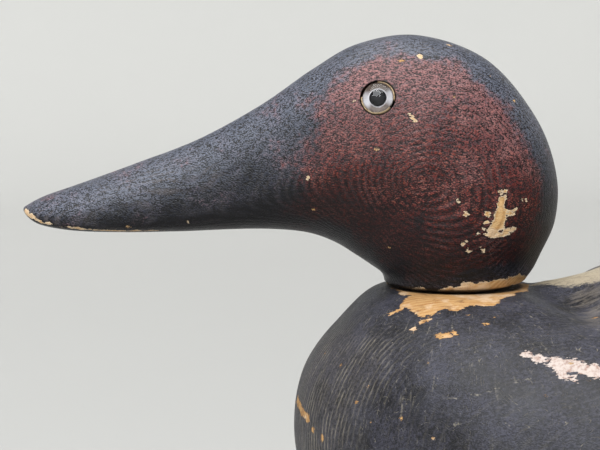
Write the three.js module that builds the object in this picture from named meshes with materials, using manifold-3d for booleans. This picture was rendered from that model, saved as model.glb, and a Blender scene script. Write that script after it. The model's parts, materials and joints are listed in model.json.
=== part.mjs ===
// A hollow wooden diving-duck decoy, millimetres, +Z up, bill towards -X, standing on its keel.
// The origin is under the middle of the bounding box, at the bottom of the keel.
// The hull is two carved and hollowed halves; the head is a block on a dowel that turns in the hull.
import * as THREE from "three";
import { mergeVertices } from "three/addons/utils/BufferGeometryUtils.js";
import Module from "manifold-3d";

const wasm = await Module();
wasm.setup();

// ---------------------------------------------------------------- driving dimensions

const billReach = 138; // bill tip ahead of the neck axis
const headHeight = 79.4; // neck joint to crown
const headWidth = 50.4; // across the cheeks
const hullLength = 359.5; // breast to tail tip
const breastReach = 51.5; // breast ahead of the neck axis
const hullWidth = 184; // across the widest ribs
const hullDepth = 103; // flat bottom to neck seat
const keelHeight = 25; // bottom of the keel to the hull's flat bottom

const gap = 0.3; // between pieces that touch
const jointGap = 0.4; // between the head and its seat
const runningGap = 0.3; // round the dowel, all the way

const seamHeight = 41; // hull bottom to the seam between the two halves
const seamThickness = 1.0; // of the bedding between the halves
const sideWall = 17;
const roofWall = 18;
const floorWall = 17;
const hollowFront = 4.3; // hull station where the hollow begins
const hollowBack = 11.5; // hull station where the hollow ends

const dowelRadius = 9.5;
const dowelInHead = 36; // length of the dowel glued into the head
const dowelChamfer = 1.5;
const spotFaceDepth = 3; // cut up into the roof under the neck, flat for the washer
const washerRadius = 15;
const washerThickness = 2;
const retainerRadius = 2.3; // shank of the screw that holds the dowel down
const retainerGrip = 26; // length of its thread in the dowel
const retainerHeadRadius = 5.5;
const retainerHeadDepth = 3.5;

const eyeAhead = 26; // eye centre ahead of the neck axis
const eyeHeight = 60.3; // eye centre above the neck joint
const eyeRadius = 4.5;
const eyeDome = 2.5; // glass standing out of the head
const eyeSink = 0.9; // back of the glass under the head's surface
const pupilRadius = 2.3;
const pupilRise = 0.9; // top of the pupil over the head's surface
const puttyWall = 0.45; // round the glass
const socketDepth = 5.5;
const eyeWireRadius = 0.6;
const eyeWireEnd = 3; // inner end of the eye's wire, from the head's middle plane

const keelLength = 165;
const keelWidth = 28;
const keelStart = 5; // front of the keel behind the neck axis
const keelNose = 13.75; // radius of its rounded front corner
const keelHeel = 15; // of the chamfer at its back corner
const ballastLength = 70;
const ballastWidth = 15;
const ballastDepth = 12;
const ballastSink = 0.6; // its face above the keel's bottom face

const nailRadius = 1.4;
const nailAboveSeam = 14; // point of a body nail over the seam
const nailBelowSeam = 26; // its head under the seam, up inside a counterbore
const nailsBehindNeck = [12, 98, 178];
const nailHeadRadius = 2.8;
const nailHeadThickness = 1.2;
const seamDowelRadius = 4;
const seamDowelLength = 30;
const seamDowelChamfer = 0.8;
const breastDowelSetBack = 16; // seam dowel behind the breast
const tailDowelSetBack = 37; // seam dowel behind the end of the hollow
const ribDowelBehindNeck = 56;

const keelScrewRadius = 2.2;
const keelScrewBite = 10; // length in the hull's floor
const keelScrewHeadRadius = 4.4;
const keelScrewHeadDepth = 3.2;
const keelScrewSink = 0.8; // the screw heads' depth under the keel's face
const keelScrewInset = 20; // outer screws from the keel's ends
const keelScrewPitch = 20; // from the outer to the inner screws
const ballastNailRadius = 1.3;
const ballastNailCover = 3; // of keel over the point of a ballast nail
const ballastNailInset = 14; // from the ballast's ends
const ballastNailSink = 0.4;

const eyeletSetBack = 24; // screw eye behind the breast
const eyeletRadius = 5; // of the loop, to the middle of its wire
const eyeletWire = 1.5;
const eyeletShank = 14; // length in the hull
const eyeletDrop = 2.5; // shank showing between the hull and the loop
const ringRadius = 8; // of the line ring, to the middle of its wire
const ringWire = 1.3;

const slotWidth = 1.4; // screwdriver slots
const slotDepth = 1.4;

// ---------------------------------------------------------------- derived places

const tailReach = hullLength - breastReach;
const neckX = (billReach - tailReach) / 2;
const breastX = neckX - breastReach;
const seatZ = keelHeight + hullDepth;
const seamZ = keelHeight + seamHeight;
const overrun = 1; // by which a cut runs past the face it opens

// ---------------------------------------------------------------- station tables
// Each row is one section across the piece, in shares of the driving dimensions:
// back line x, z; belly line x, z; half width; where between belly (0) and back (1) the section is
// widest; fullness above and below that line, where 2 is an ellipse and more is squarer.

// Head: x in shares of billReach from the neck axis, z in shares of headHeight above the joint,
// half width in shares of half of headWidth. The sections fan round the throat, then run to the tip.
const headStations = [
  [0.161, 0.0, -0.162, 0.0, 0.775, 0.5, 2.0, 2.0],
  [0.197, 0.128, -0.17, 0.047, 0.865, 0.5, 2.0, 2.0],
  [0.231, 0.277, -0.199, 0.087, 0.95, 0.51, 2.05, 2.0],
  [0.229, 0.466, -0.232, 0.125, 1.0, 0.52, 2.1, 2.0],
  [0.178, 0.684, -0.268, 0.164, 0.985, 0.51, 2.2, 2.0],
  [0.066, 0.904, -0.308, 0.195, 0.93, 0.46, 2.3, 2.0],
  [-0.086, 0.999, -0.348, 0.214, 0.825, 0.41, 2.3, 2.0],
  [-0.225, 0.967, -0.391, 0.223, 0.7, 0.36, 2.25, 2.1],
  [-0.333, 0.863, -0.449, 0.228, 0.585, 0.32, 2.1, 2.3],
  [-0.449, 0.724, -0.522, 0.226, 0.5, 0.28, 2.0, 2.6],
  [-0.594, 0.587, -0.638, 0.22, 0.48, 0.25, 1.9, 3.0],
  [-0.746, 0.486, -0.761, 0.219, 0.51, 0.23, 1.95, 3.4],
  [-0.87, 0.408, -0.87, 0.225, 0.49, 0.23, 2.0, 3.4],
  [-0.949, 0.36, -0.946, 0.243, 0.37, 0.26, 2.0, 3.0],
  [-0.988, 0.326, -0.983, 0.27, 0.2, 0.33, 2.0, 2.4],
  [-1.0, 0.305, -1.0, 0.305, 0.0, 0.5, 2.0, 2.0],
];

// Hull: x in shares of hullLength from the breast, z in shares of hullDepth from the neck seat,
// half width in shares of half of hullWidth.
const hullStations = [
  [0.0, -0.446, 0.0, -0.446, 0.0, 0.5, 2.0, 2.0],
  [0.0033, -0.33, 0.0036, -0.553, 0.136, 0.5, 2.0, 2.0],
  [0.0139, -0.228, 0.0153, -0.689, 0.272, 0.5, 2.0, 2.1],
  [0.0362, -0.126, 0.0403, -0.835, 0.435, 0.49, 2.0, 2.3],
  [0.0737, -0.008, 0.0821, -0.951, 0.598, 0.47, 2.05, 2.6],
  [0.121, 0.0155, 0.132, -1.003, 0.75, 0.46, 2.2, 2.9],
  [0.1766, 0.0155, 0.1878, -1.01, 0.848, 0.45, 2.2, 3.1],
  [0.2184, 0.0165, 0.2323, -1.01, 0.902, 0.44, 2.2, 3.2],
  [0.2712, 0.045, 0.2879, -1.01, 0.957, 0.42, 2.1, 3.2],
  [0.3602, 0.093, 0.3714, -1.01, 0.992, 0.39, 2.1, 3.2],
  [0.477, 0.097, 0.4826, -1.01, 0.992, 0.38, 2.15, 3.2],
  [0.6022, 0.029, 0.6022, -1.005, 0.935, 0.39, 2.15, 3.0],
  [0.7274, -0.107, 0.7163, -0.951, 0.793, 0.43, 2.1, 2.6],
  [0.8387, -0.223, 0.822, -0.757, 0.576, 0.5, 2.0, 2.3],
  [0.9221, -0.286, 0.911, -0.544, 0.38, 0.5, 2.0, 2.1],
  [0.9777, -0.32, 0.975, -0.408, 0.207, 0.5, 2.0, 2.0],
  [1.0, -0.359, 1.0, -0.359, 0.0, 0.5, 2.0, 2.0],
];

// The hollow carved across the shoulders behind the neck, between the seat and the hump of the back.
const notch = {
  depth: 5.5,
  behind: 31, // its middle line behind the neck axis, at the ridge of the back
  sweep: 0.22, // by which that line runs back for each millimetre sideways
  width: 11,
  inner: 17, // full depth this far from the ridge
  fade: 24, // begins to run out here
  outer: 62, // and is gone here
  ridgeShare: 0.12, // of the depth, on the ridge itself
};

// ---------------------------------------------------------------- lofted shapes

// The row that carries the section smoothly round a closed end.
function reflected([backX, backZ, bellyX, bellyZ, halfWidth, level, above, below]) {
  return [bellyX, bellyZ, backX, backZ, -halfWidth, 1 - level, below, above];
}

// A smooth section at any station number, from the rows and the sizes that scale them.
function sectionReader(stations, { roundStart, roundEnd, toX, toZ, halfSpan }) {
  const rows = [...stations];
  const times = stations.map((_, index) => index);
  if (roundStart) {
    rows.unshift(reflected(stations[1]));
    times.unshift(-1);
  }
  if (roundEnd) {
    rows.push(reflected(stations.at(-2)));
    times.push(stations.length);
  }
  const spline = new THREE.CubicInterpolant(times, rows.flat(), rows[0].length);
  return (station) => {
    const [backX, backZ, bellyX, bellyZ, halfWidth, level, above, below] = spline.evaluate(station);
    return {
      back: new THREE.Vector3(toX(backX), 0, toZ(backZ)),
      belly: new THREE.Vector3(toX(bellyX), 0, toZ(bellyZ)),
      halfWidth: halfWidth * halfSpan,
      level,
      above,
      below,
    };
  };
}

const headSection = sectionReader(headStations, {
  roundEnd: true,
  toX: (share) => neckX + share * billReach,
  toZ: (share) => seatZ + jointGap + share * headHeight,
  halfSpan: headWidth / 2,
});

const hullSection = sectionReader(hullStations, {
  roundStart: true,
  roundEnd: true,
  toX: (share) => breastX + share * hullLength,
  toZ: (share) => seatZ + share * hullDepth,
  halfSpan: hullWidth / 2,
});

// A point on a section's outline: angle 0 is the widest point at +Y, a quarter turn is the back line.
function outlinePoint(section, angle) {
  const top = Math.sin(angle) >= 0;
  const power = 2 / (top ? section.above : section.below);
  const across = Math.sign(Math.cos(angle)) * Math.abs(Math.cos(angle)) ** power;
  const along = Math.abs(Math.sin(angle)) ** power;
  const middle = section.belly.clone().lerp(section.back, section.level);
  const point = middle.clone().lerp(top ? section.back : section.belly, along);
  point.y = across * section.halfWidth;
  return point;
}

// A closed surface through sections from one station to another. An end whose ring has no width is a
// single point, and any other end is flat.
function loft(readSection, from, to, steps, sides, shape = (point) => point) {
  const positions = [];
  const indices = [];
  const addPoint = (point) => positions.push(point.x, point.y, point.z) / 3 - 1;
  const rings = [];
  for (let step = 0; step <= steps; step++) {
    const section = readSection(from + ((to - from) * step) / steps);
    const isPoint = Math.abs(section.halfWidth) < 1e-6;
    const ring = [];
    for (let side = 0; side < (isPoint ? 1 : sides); side++) {
      ring.push(addPoint(shape(outlinePoint(section, (side / sides) * 2 * Math.PI), section)));
    }
    rings.push(ring);
  }
  for (let step = 0; step < steps; step++) {
    for (let side = 0; side < sides; side++) {
      const corner = (ring, index) => rings[ring][index % rings[ring].length];
      const [a, b] = [corner(step, side), corner(step, side + 1)];
      const [c, d] = [corner(step + 1, side), corner(step + 1, side + 1)];
      if (a !== b) indices.push(a, c, b);
      if (c !== d) indices.push(b, c, d);
    }
  }
  for (const [ring, facing] of [[rings[0], 1], [rings[steps], -1]]) {
    if (ring.length === 1) continue;
    const middle = new THREE.Vector3();
    for (const index of ring) middle.add(new THREE.Vector3().fromArray(positions, index * 3));
    const hub = addPoint(middle.divideScalar(ring.length));
    ring.forEach((index, side) => {
      const next = ring[(side + 1) % ring.length];
      indices.push(...(facing > 0 ? [hub, index, next] : [hub, next, index]));
    });
  }
  const geometry = new THREE.BufferGeometry();
  geometry.setAttribute("position", new THREE.Float32BufferAttribute(positions, 3));
  geometry.setIndex(enclosedVolume(positions, indices) < 0 ? indices.reverse() : indices);
  return geometry;
}

// The volume inside a closed surface, negative where its faces point inwards.
function enclosedVolume(positions, indices) {
  const corner = (index) => new THREE.Vector3().fromArray(positions, index * 3);
  let volume = 0;
  for (let start = 0; start < indices.length; start += 3) {
    const [a, b, c] = indices.slice(start, start + 3).map(corner);
    volume += a.dot(b.cross(c)) / 6;
  }
  return volume;
}

// ---------------------------------------------------------------- solids and cuts

function solid(geometry) {
  const bare = geometry.clone();
  for (const name of Object.keys(bare.attributes)) {
    if (name !== "position") bare.deleteAttribute(name);
  }
  const merged = mergeVertices(bare, 1e-4);
  const vertProperties = new Float32Array(merged.attributes.position.array);
  const triVerts = new Uint32Array(merged.index.array);
  return new wasm.Manifold(new wasm.Mesh({ numProp: 3, vertProperties, triVerts }));
}

function geometryOf(manifold) {
  const mesh = manifold.getMesh();
  const positions = new Float32Array(mesh.numVert * 3);
  for (let vertex = 0; vertex < mesh.numVert; vertex++) {
    const start = vertex * mesh.numProp;
    positions.set(mesh.vertProperties.subarray(start, start + 3), vertex * 3);
  }
  const geometry = new THREE.BufferGeometry();
  geometry.setAttribute("position", new THREE.BufferAttribute(positions, 3));
  geometry.setIndex(new THREE.BufferAttribute(mesh.triVerts, 1));
  return geometry;
}

function subtractAll(from, cutters) {
  return cutters.reduce((left, cutter) => left.subtract(cutter), from);
}

// A block between two corners.
function block(low, high) {
  const size = high.clone().sub(low);
  const middle = low.clone().add(high).multiplyScalar(0.5);
  return new THREE.BoxGeometry(size.x, size.y, size.z).translate(middle.x, middle.y, middle.z);
}

// A turned piece about a vertical axis. The profile runs from the axis at the bottom, out and up, and
// back to the axis at the top, as [radius, z] pairs.
function turned(profile, sides) {
  const outline = profile.map(([radius, z]) => new THREE.Vector2(radius, z));
  return new THREE.LatheGeometry(outline, sides).rotateX(Math.PI / 2);
}

function cylinder(radius, low, high, sides) {
  return turned([[0, low], [radius, low], [radius, high], [0, high]], sides);
}

// A screwdriver slot across a head of the given radius, cut upwards from the height of its face.
function slotCut(radius, face) {
  const reach = radius + overrun;
  return block(
    new THREE.Vector3(-reach, -slotWidth / 2, face - overrun),
    new THREE.Vector3(reach, slotWidth / 2, face + slotDepth),
  );
}

// Sides of the round pieces, by size.
const sides = { large: 24, eye: 20, medium: 14, small: 12, thin: 8 };

// ---------------------------------------------------------------- scene graph helpers

const decoy = new THREE.Group();
decoy.name = "duck_decoy";

function material(color, roughness, metalness = 0) {
  return new THREE.MeshStandardMaterial({ color, roughness, metalness });
}

const chestnutPaint = material(0x5a2a22, 0.6);
const blackPaint = material(0x2b2c33, 0.55);
const bareWood = material(0xc79a5f, 0.75);
const keelPaint = material(0x4a4b47, 0.7);
const whiteLead = material(0xcfc8b6, 0.85);
const clearGlass = material(0xd8dde0, 0.05);
const blackGlass = material(0x08080a, 0.1);
const steel = material(0x6d6862, 0.5, 0.9);
const lead = material(0x5c5f63, 0.6, 0.8);
const brass = material(0x8f7440, 0.45, 0.9);

function addMesh(name, geometry, finish, parent = decoy) {
  const mesh = new THREE.Mesh(geometry, finish);
  mesh.name = name;
  parent.add(mesh);
  return mesh;
}

// Where a straight line from outside first meets a solid's surface.
function surfaceHit(manifold, from, direction) {
  const target = new THREE.Mesh(geometryOf(manifold), new THREE.MeshBasicMaterial());
  const [hit] = new THREE.Raycaster(from, direction.clone().normalize()).intersectObject(target);
  return hit.point;
}

// ---------------------------------------------------------------- head block and its eyes

const headSteps = 34;
const headSides = 26;
const headBlank = solid(loft(headSection, 0, headStations.length - 1, headSteps, headSides));

// The eye's seat on one cheek: a point on the head, and a frame whose z axis points out of the head.
function eyeSeat(side) {
  const inward = new THREE.Vector3(0, -side, 0);
  const probe = (dx, dz) =>
    surfaceHit(
      headBlank,
      new THREE.Vector3(neckX - eyeAhead + dx, side * headWidth, seatZ + eyeHeight + dz),
      inward,
    );
  const alongX = probe(eyeRadius, 0).sub(probe(-eyeRadius, 0));
  const alongZ = probe(0, eyeRadius).sub(probe(0, -eyeRadius));
  const outward = alongZ.cross(alongX).multiplyScalar(side).normalize();
  const seat = new THREE.Group();
  seat.position.copy(probe(0, 0));
  seat.quaternion.setFromUnitVectors(new THREE.Vector3(0, 0, 1), outward);
  seat.updateMatrix();
  return { seat, inwardRun: (Math.abs(seat.position.y) - eyeWireEnd) / Math.abs(outward.y) };
}

// The eyes' own shapes, with z = 0 at the head's surface and +z out of the head.
const puttyRadius = eyeRadius + gap + puttyWall;
const socketRadius = puttyRadius + gap;
const wireTop = -eyeSink - gap;

function eyeGlass() {
  const arcSteps = 5;
  const profile = [
    [0, pupilRise + gap],
    [pupilRadius + gap, gap - eyeSink],
    [pupilRadius + gap, -eyeSink],
    [eyeRadius, -eyeSink],
  ];
  for (let step = 0; step <= arcSteps; step++) {
    const angle = (step / arcSteps) * (Math.PI / 2);
    profile.push([eyeRadius * Math.cos(angle), eyeDome * Math.sin(angle)]);
  }
  return turned(profile, sides.eye);
}

function eyePupil() {
  const profile = [
    [0, -eyeSink],
    [pupilRadius, -eyeSink],
    [pupilRadius, gap / 2 - eyeSink],
    [0, pupilRise],
  ];
  return turned(profile, sides.medium);
}

function eyePutty() {
  const bore = eyeWireRadius + gap;
  const bottom = gap - socketDepth;
  const profile = [
    [bore, bottom],
    [puttyRadius, bottom],
    [puttyRadius, 0],
    [eyeRadius + gap, 0],
    [eyeRadius + gap, wireTop],
    [bore, wireTop],
    [bore, bottom],
  ];
  return turned(profile, sides.eye);
}

const eyeCuts = [];
for (const [label, side] of [["left", -1], ["right", 1]]) {
  const { seat, inwardRun } = eyeSeat(side);
  const wireEnd = -inwardRun;
  const cuts = [
    cylinder(socketRadius, -socketDepth, 2 * eyeDome, sides.large),
    cylinder(eyeWireRadius + gap, wireEnd - gap, 0, sides.thin),
  ];
  eyeCuts.push(...cuts.map((cut) => cut.applyMatrix4(seat.matrix)));
  decoy.add(seat);
  addMesh(`eye_glass_${label}`, eyeGlass(), clearGlass, seat);
  addMesh(`eye_pupil_${label}`, eyePupil(), blackGlass, seat);
  addMesh(`eye_putty_${label}`, eyePutty(), whiteLead, seat);
  addMesh(`eye_wire_${label}`, cylinder(eyeWireRadius, wireEnd, wireTop, sides.thin), steel, seat);
}

const dowelTop = seatZ + jointGap + dowelInHead;
const boreRadius = dowelRadius + runningGap;
const headBore = cylinder(boreRadius, seatZ - overrun, dowelTop + gap, sides.large).translate(neckX, 0, 0);
const headBlock = subtractAll(headBlank, [headBore, ...eyeCuts].map(solid));
addMesh("head_block", geometryOf(headBlock), chestnutPaint);

// ---------------------------------------------------------------- neck dowel and its retainer

const shelfUnderZ = seatZ - roofWall + spotFaceDepth;
const dowelShort = 1; // the dowel ends above the shelf's underside, so that the screw pulls it tight
const dowelBottom = shelfUnderZ + dowelShort;
const washerTop = shelfUnderZ - gap;
const washerBottom = washerTop - washerThickness;
const pilotRadius = retainerRadius + gap;
const pilotTop = dowelBottom + retainerGrip + gap;

function neckDowel() {
  const profile = [
    [0, pilotTop],
    [pilotRadius, pilotTop],
    [pilotRadius, dowelBottom],
    [dowelRadius - dowelChamfer, dowelBottom],
    [dowelRadius, dowelBottom + dowelChamfer],
    [dowelRadius, dowelTop - dowelChamfer],
    [dowelRadius - dowelChamfer, dowelTop],
    [0, dowelTop],
  ];
  return turned(profile, sides.large);
}

function neckWasher() {
  const profile = [
    [pilotRadius, washerBottom],
    [washerRadius, washerBottom],
    [washerRadius, washerTop],
    [pilotRadius, washerTop],
    [pilotRadius, washerBottom],
  ];
  return turned(profile, sides.large);
}

// A pan-headed wood screw, driven up through the washer into the dowel.
function neckScrew() {
  const headTop = washerBottom - gap;
  const face = headTop - retainerHeadDepth;
  const shankTop = dowelBottom + retainerGrip;
  const taper = 2 * retainerRadius;
  const rounding = 0.3 * retainerHeadRadius;
  const profile = [
    [0, face],
    [retainerHeadRadius - rounding, face],
    [retainerHeadRadius, face + rounding],
    [retainerHeadRadius, headTop],
    [retainerRadius, headTop],
    [retainerRadius, shankTop - taper],
    [0, shankTop],
  ];
  const slot = slotCut(retainerHeadRadius, face);
  return geometryOf(solid(turned(profile, sides.medium)).subtract(solid(slot)));
}

addMesh("neck_dowel", neckDowel(), bareWood).position.x = neckX;
addMesh("neck_washer", neckWasher(), steel).position.x = neckX;
addMesh("neck_screw", neckScrew(), steel).position.x = neckX;

// ---------------------------------------------------------------- hull: outside, hollow and trims

// Lowers the shoulders behind the neck. It works on the upper half of a section only.
function carveNotch(point, section) {
  const middleZ = THREE.MathUtils.lerp(section.belly.z, section.back.z, section.level);
  if (point.z <= middleZ) return point;
  const { smoothstep, lerp } = THREE.MathUtils;
  const sideways = Math.abs(point.y);
  const offset = (point.x - neckX - notch.behind - notch.sweep * sideways) / notch.width;
  const inward = lerp(notch.ridgeShare, 1, smoothstep(sideways, 0, notch.inner));
  const outward = 1 - smoothstep(sideways, notch.fade, notch.outer);
  point.z -= notch.depth * Math.exp(-offset * offset) * inward * outward;
  return point;
}

const hullSteps = 34;
const hullSides = 34;
const hullBlank = solid(loft(hullSection, 0, hullStations.length - 1, hullSteps, hullSides, carveNotch));

// The hollow follows the outside, in by each wall.
function hollowSection(station) {
  const section = hullSection(station);
  section.back.z -= roofWall;
  section.belly.z = Math.max(section.belly.z, keelHeight) + floorWall;
  section.halfWidth -= sideWall;
  return section;
}
const hollowSteps = 10;
const hollowSides = 18;
const hollow = solid(loft(hollowSection, hollowFront, hollowBack, hollowSteps, hollowSides));

const far = 2 * hullLength;
const seatBackX = neckX + notch.behind / 2 + dowelRadius; // the flat seat ends before the hump
const aboveSeat = block(new THREE.Vector3(-far, -far, seatZ), new THREE.Vector3(seatBackX, far, far));
const belowHull = block(new THREE.Vector3(-far, -far, -far), new THREE.Vector3(far, far, keelHeight));
const trimmedHull = subtractAll(hullBlank, [aboveSeat, belowHull].map(solid));

function slab(low, high) {
  return solid(block(new THREE.Vector3(-far, -far, low), new THREE.Vector3(far, far, high)));
}

// How far the trimmed hull reaches sideways at a place.
function hullReach(x, z) {
  return surfaceHit(trimmedHull, new THREE.Vector3(x, far, z), new THREE.Vector3(0, -1, 0)).y;
}

// ---------------------------------------------------------------- seam fastenings

// A nail, head down, with its head's face at z = 0.
function nail(length, radius) {
  const taper = 2.5 * radius;
  const profile = [
    [0, 0],
    [nailHeadRadius, 0],
    [nailHeadRadius, nailHeadThickness],
    [radius, nailHeadThickness],
    [radius, length - taper],
    [0, length],
  ];
  return turned(profile, sides.thin);
}

// What a nail needs: a close hole, and a counterbore under its head, from one height up.
function nailHoles(length, radius, openZ, headZ) {
  return [
    cylinder(radius + gap, openZ, headZ + length + gap, sides.thin),
    cylinder(nailHeadRadius + gap, openZ, headZ + nailHeadThickness + gap, sides.thin),
  ];
}

const halfCuts = [];
const nailLength = nailBelowSeam + nailAboveSeam;
const nailHeadZ = seamZ - nailBelowSeam;
nailsBehindNeck.forEach((behind, pair) => {
  const x = neckX + behind;
  for (const [index, side] of [-1, 1].entries()) {
    const y = side * (hullReach(x, seamZ + nailAboveSeam) - sideWall / 2);
    const body = addMesh(`body_nail_${2 * pair + index + 1}`, nail(nailLength, nailRadius), steel);
    body.position.set(x, y, nailHeadZ);
    const holes = nailHoles(nailLength, nailRadius, 0, nailHeadZ);
    halfCuts.push(...holes.map((hole) => hole.translate(x, y, 0)));
  }
});

const hollowEndX = hullSection(hollowBack).back.x;
const ribDowelX = neckX + ribDowelBehindNeck;
const ribDowelY = hullReach(ribDowelX, seamZ) - sideWall / 2;
const seamDowelPlaces = [
  [breastX + breastDowelSetBack, 0],
  [hollowEndX + tailDowelSetBack, 0],
  [ribDowelX, -ribDowelY],
  [ribDowelX, ribDowelY],
];
seamDowelPlaces.forEach(([x, y], index) => {
  const low = seamZ - seamDowelLength / 2;
  const high = seamZ + seamDowelLength / 2;
  const profile = [
    [0, low],
    [seamDowelRadius - seamDowelChamfer, low],
    [seamDowelRadius, low + seamDowelChamfer],
    [seamDowelRadius, high - seamDowelChamfer],
    [seamDowelRadius - seamDowelChamfer, high],
    [0, high],
  ];
  addMesh(`seam_dowel_${index + 1}`, turned(profile, sides.small), bareWood).position.set(x, y, 0);
  const hole = cylinder(seamDowelRadius + gap, low - gap, high + gap, sides.small);
  halfCuts.push(hole.translate(x, y, 0));
});

// ---------------------------------------------------------------- keel, ballast and their fastenings

const keelFront = neckX + keelStart;
const keelBack = keelFront + keelLength;
const keelTop = keelHeight - gap;
const ballastFront = keelFront + (keelLength - ballastLength) / 2;
const ballastBack = ballastFront + ballastLength;

function keelBoard() {
  const outline = new THREE.Shape();
  outline.moveTo(keelFront, keelTop);
  outline.lineTo(keelFront, keelNose);
  outline.absarc(keelFront + keelNose, keelNose, keelNose, Math.PI, 1.5 * Math.PI, false);
  outline.lineTo(keelBack - keelHeel, 0);
  outline.lineTo(keelBack, keelHeel);
  outline.lineTo(keelBack, keelTop);
  outline.closePath();
  const options = { depth: keelWidth, bevelEnabled: false, curveSegments: 7 };
  const board = new THREE.ExtrudeGeometry(outline, options);
  return board.rotateX(Math.PI / 2).translate(0, keelWidth / 2, 0);
}

function ballastBar() {
  return block(
    new THREE.Vector3(ballastFront, -ballastWidth / 2, ballastSink),
    new THREE.Vector3(ballastBack, ballastWidth / 2, ballastSink + ballastDepth),
  );
}

function ballastPocket() {
  return block(
    new THREE.Vector3(ballastFront - gap, -ballastWidth / 2 - gap, -overrun),
    new THREE.Vector3(ballastBack + gap, ballastWidth / 2 + gap, ballastSink + ballastDepth + gap),
  );
}

// A countersunk wood screw, head down, with its head's face at z = 0. Grown by a clearance, and
// without its slot, it is its own hole.
const keelScrewLength = keelHeight + keelScrewBite - keelScrewSink;

function woodScrewBody(clearance, face, taper) {
  const profile = [
    [0, face],
    [keelScrewHeadRadius + clearance, face],
    [keelScrewHeadRadius + clearance, clearance],
    [keelScrewRadius + clearance, keelScrewHeadDepth + clearance],
    [keelScrewRadius + clearance, keelScrewLength + clearance - taper],
    [0, keelScrewLength + clearance],
  ];
  return turned(profile, sides.small);
}

function woodScrew() {
  const rim = 0.2; // the head's straight edge
  const body = solid(woodScrewBody(0, -rim, 2 * keelScrewRadius));
  return geometryOf(body.subtract(solid(slotCut(keelScrewHeadRadius, -rim))));
}

const keelCuts = [ballastPocket()];
const floorCuts = [];
const keelScrewsX = [
  keelFront + keelScrewInset,
  keelFront + keelScrewInset + keelScrewPitch,
  keelBack - keelScrewInset - keelScrewPitch,
  keelBack - keelScrewInset,
];
keelScrewsX.forEach((x, index) => {
  addMesh(`keel_screw_${index + 1}`, woodScrew(), brass).position.set(x, 0, keelScrewSink);
  const hole = woodScrewBody(gap, -keelScrewSink - overrun, 0).translate(x, 0, keelScrewSink);
  keelCuts.push(hole);
  floorCuts.push(hole);
});

const ballastCuts = [];
const ballastNailHeadZ = ballastSink + ballastNailSink;
const ballastNailLength = keelHeight - ballastNailCover - ballastNailHeadZ;
const ballastNailsX = [ballastFront + ballastNailInset, ballastBack - ballastNailInset];
ballastNailsX.forEach((x, index) => {
  const body = addMesh(`ballast_nail_${index + 1}`, nail(ballastNailLength, ballastNailRadius), steel);
  body.position.set(x, 0, ballastNailHeadZ);
  const holes = nailHoles(ballastNailLength, ballastNailRadius, -overrun, ballastNailHeadZ);
  const [shankHole, headHole] = holes.map((hole) => hole.translate(x, 0, 0));
  keelCuts.push(shankHole);
  ballastCuts.push(shankHole, headHole);
});

addMesh("keel", geometryOf(subtractAll(solid(keelBoard()), keelCuts.map(solid))), keelPaint);
addMesh("ballast", geometryOf(subtractAll(solid(ballastBar()), ballastCuts.map(solid))), lead);

// ---------------------------------------------------------------- line eye and ring under the breast

const eyeletX = breastX + eyeletSetBack;
const up = new THREE.Vector3(0, 0, 1);
const breastUnderZ = surfaceHit(trimmedHull, new THREE.Vector3(eyeletX, 0, -far), up).z;
const eyeletZ = breastUnderZ - eyeletDrop - eyeletRadius - eyeletWire;
const eyeletTop = breastUnderZ - eyeletZ + eyeletShank; // end of the shank over the loop's middle

const loop = new THREE.TorusGeometry(eyeletRadius, eyeletWire, 8, 20).rotateX(Math.PI / 2);
const shank = cylinder(eyeletWire, eyeletRadius, eyeletTop, sides.small); // it grows out of the loop's top
addMesh("line_eye", geometryOf(solid(loop).add(solid(shank))), brass).position.set(eyeletX, 0, eyeletZ);
const eyeletHole = cylinder(eyeletWire + gap, 0, eyeletTop + gap, sides.small);
floorCuts.push(eyeletHole.translate(eyeletX, 0, eyeletZ));

// The ring hangs in the loop, square to it. Its pivot is the middle of its wire inside the loop.
const ringPivotZ = eyeletZ - eyeletRadius + eyeletWire + gap / 2 + ringWire;
const ring = new THREE.TorusGeometry(ringRadius, ringWire, 8, 24).rotateY(Math.PI / 2);
addMesh("line_ring", ring, brass).position.set(eyeletX, 0, ringPivotZ - ringRadius);

// ---------------------------------------------------------------- hull halves and bedding

const neckBore = cylinder(boreRadius, seamZ, seatZ + overrun, sides.large);
const spotFace = cylinder(washerRadius + 2 * overrun, seamZ, shelfUnderZ, sides.large);
const neckCuts = [neckBore, spotFace].map((cut) => solid(cut.translate(neckX, 0, 0)));
const fasteningCuts = halfCuts.map(solid);
const seamLow = seamZ - seamThickness / 2;
const seamHigh = seamZ + seamThickness / 2;
const beddingGap = 0.1;

const topCuts = [hollow, ...neckCuts, ...fasteningCuts];
const topHalf = subtractAll(trimmedHull.intersect(slab(seamHigh, far)), topCuts);
addMesh("body_top", geometryOf(topHalf), blackPaint);

const bottomCuts = [hollow, ...fasteningCuts, ...floorCuts.map(solid)];
const bottomHalf = subtractAll(trimmedHull.intersect(slab(0, seamLow)), bottomCuts);
addMesh("body_bottom", geometryOf(bottomHalf), blackPaint);

const beddingSlab = slab(seamLow + beddingGap, seamHigh - beddingGap);
const bedding = subtractAll(trimmedHull.intersect(beddingSlab), [hollow, ...fasteningCuts]);
addMesh("seam_bedding", geometryOf(bedding), whiteLead);

export default decoy;
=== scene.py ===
"""A worn, hand-painted wooden decoy of a diving duck, in metres, bill towards -X.

The carved head turns on its dowel, the hull is two hollowed halves bedded together, and a keel
with lead let into it keeps the bird upright. Each sub-assembly is a class that builds and dresses
its own pieces round the fixed frame.
"""

from __future__ import annotations

import itertools
import json
import logging
import math
from collections.abc import Iterable, Iterator, Sequence
from dataclasses import dataclass
from enum import Enum

import bmesh
import bpy
import numpy as np
from mathutils import Matrix, Vector


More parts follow.
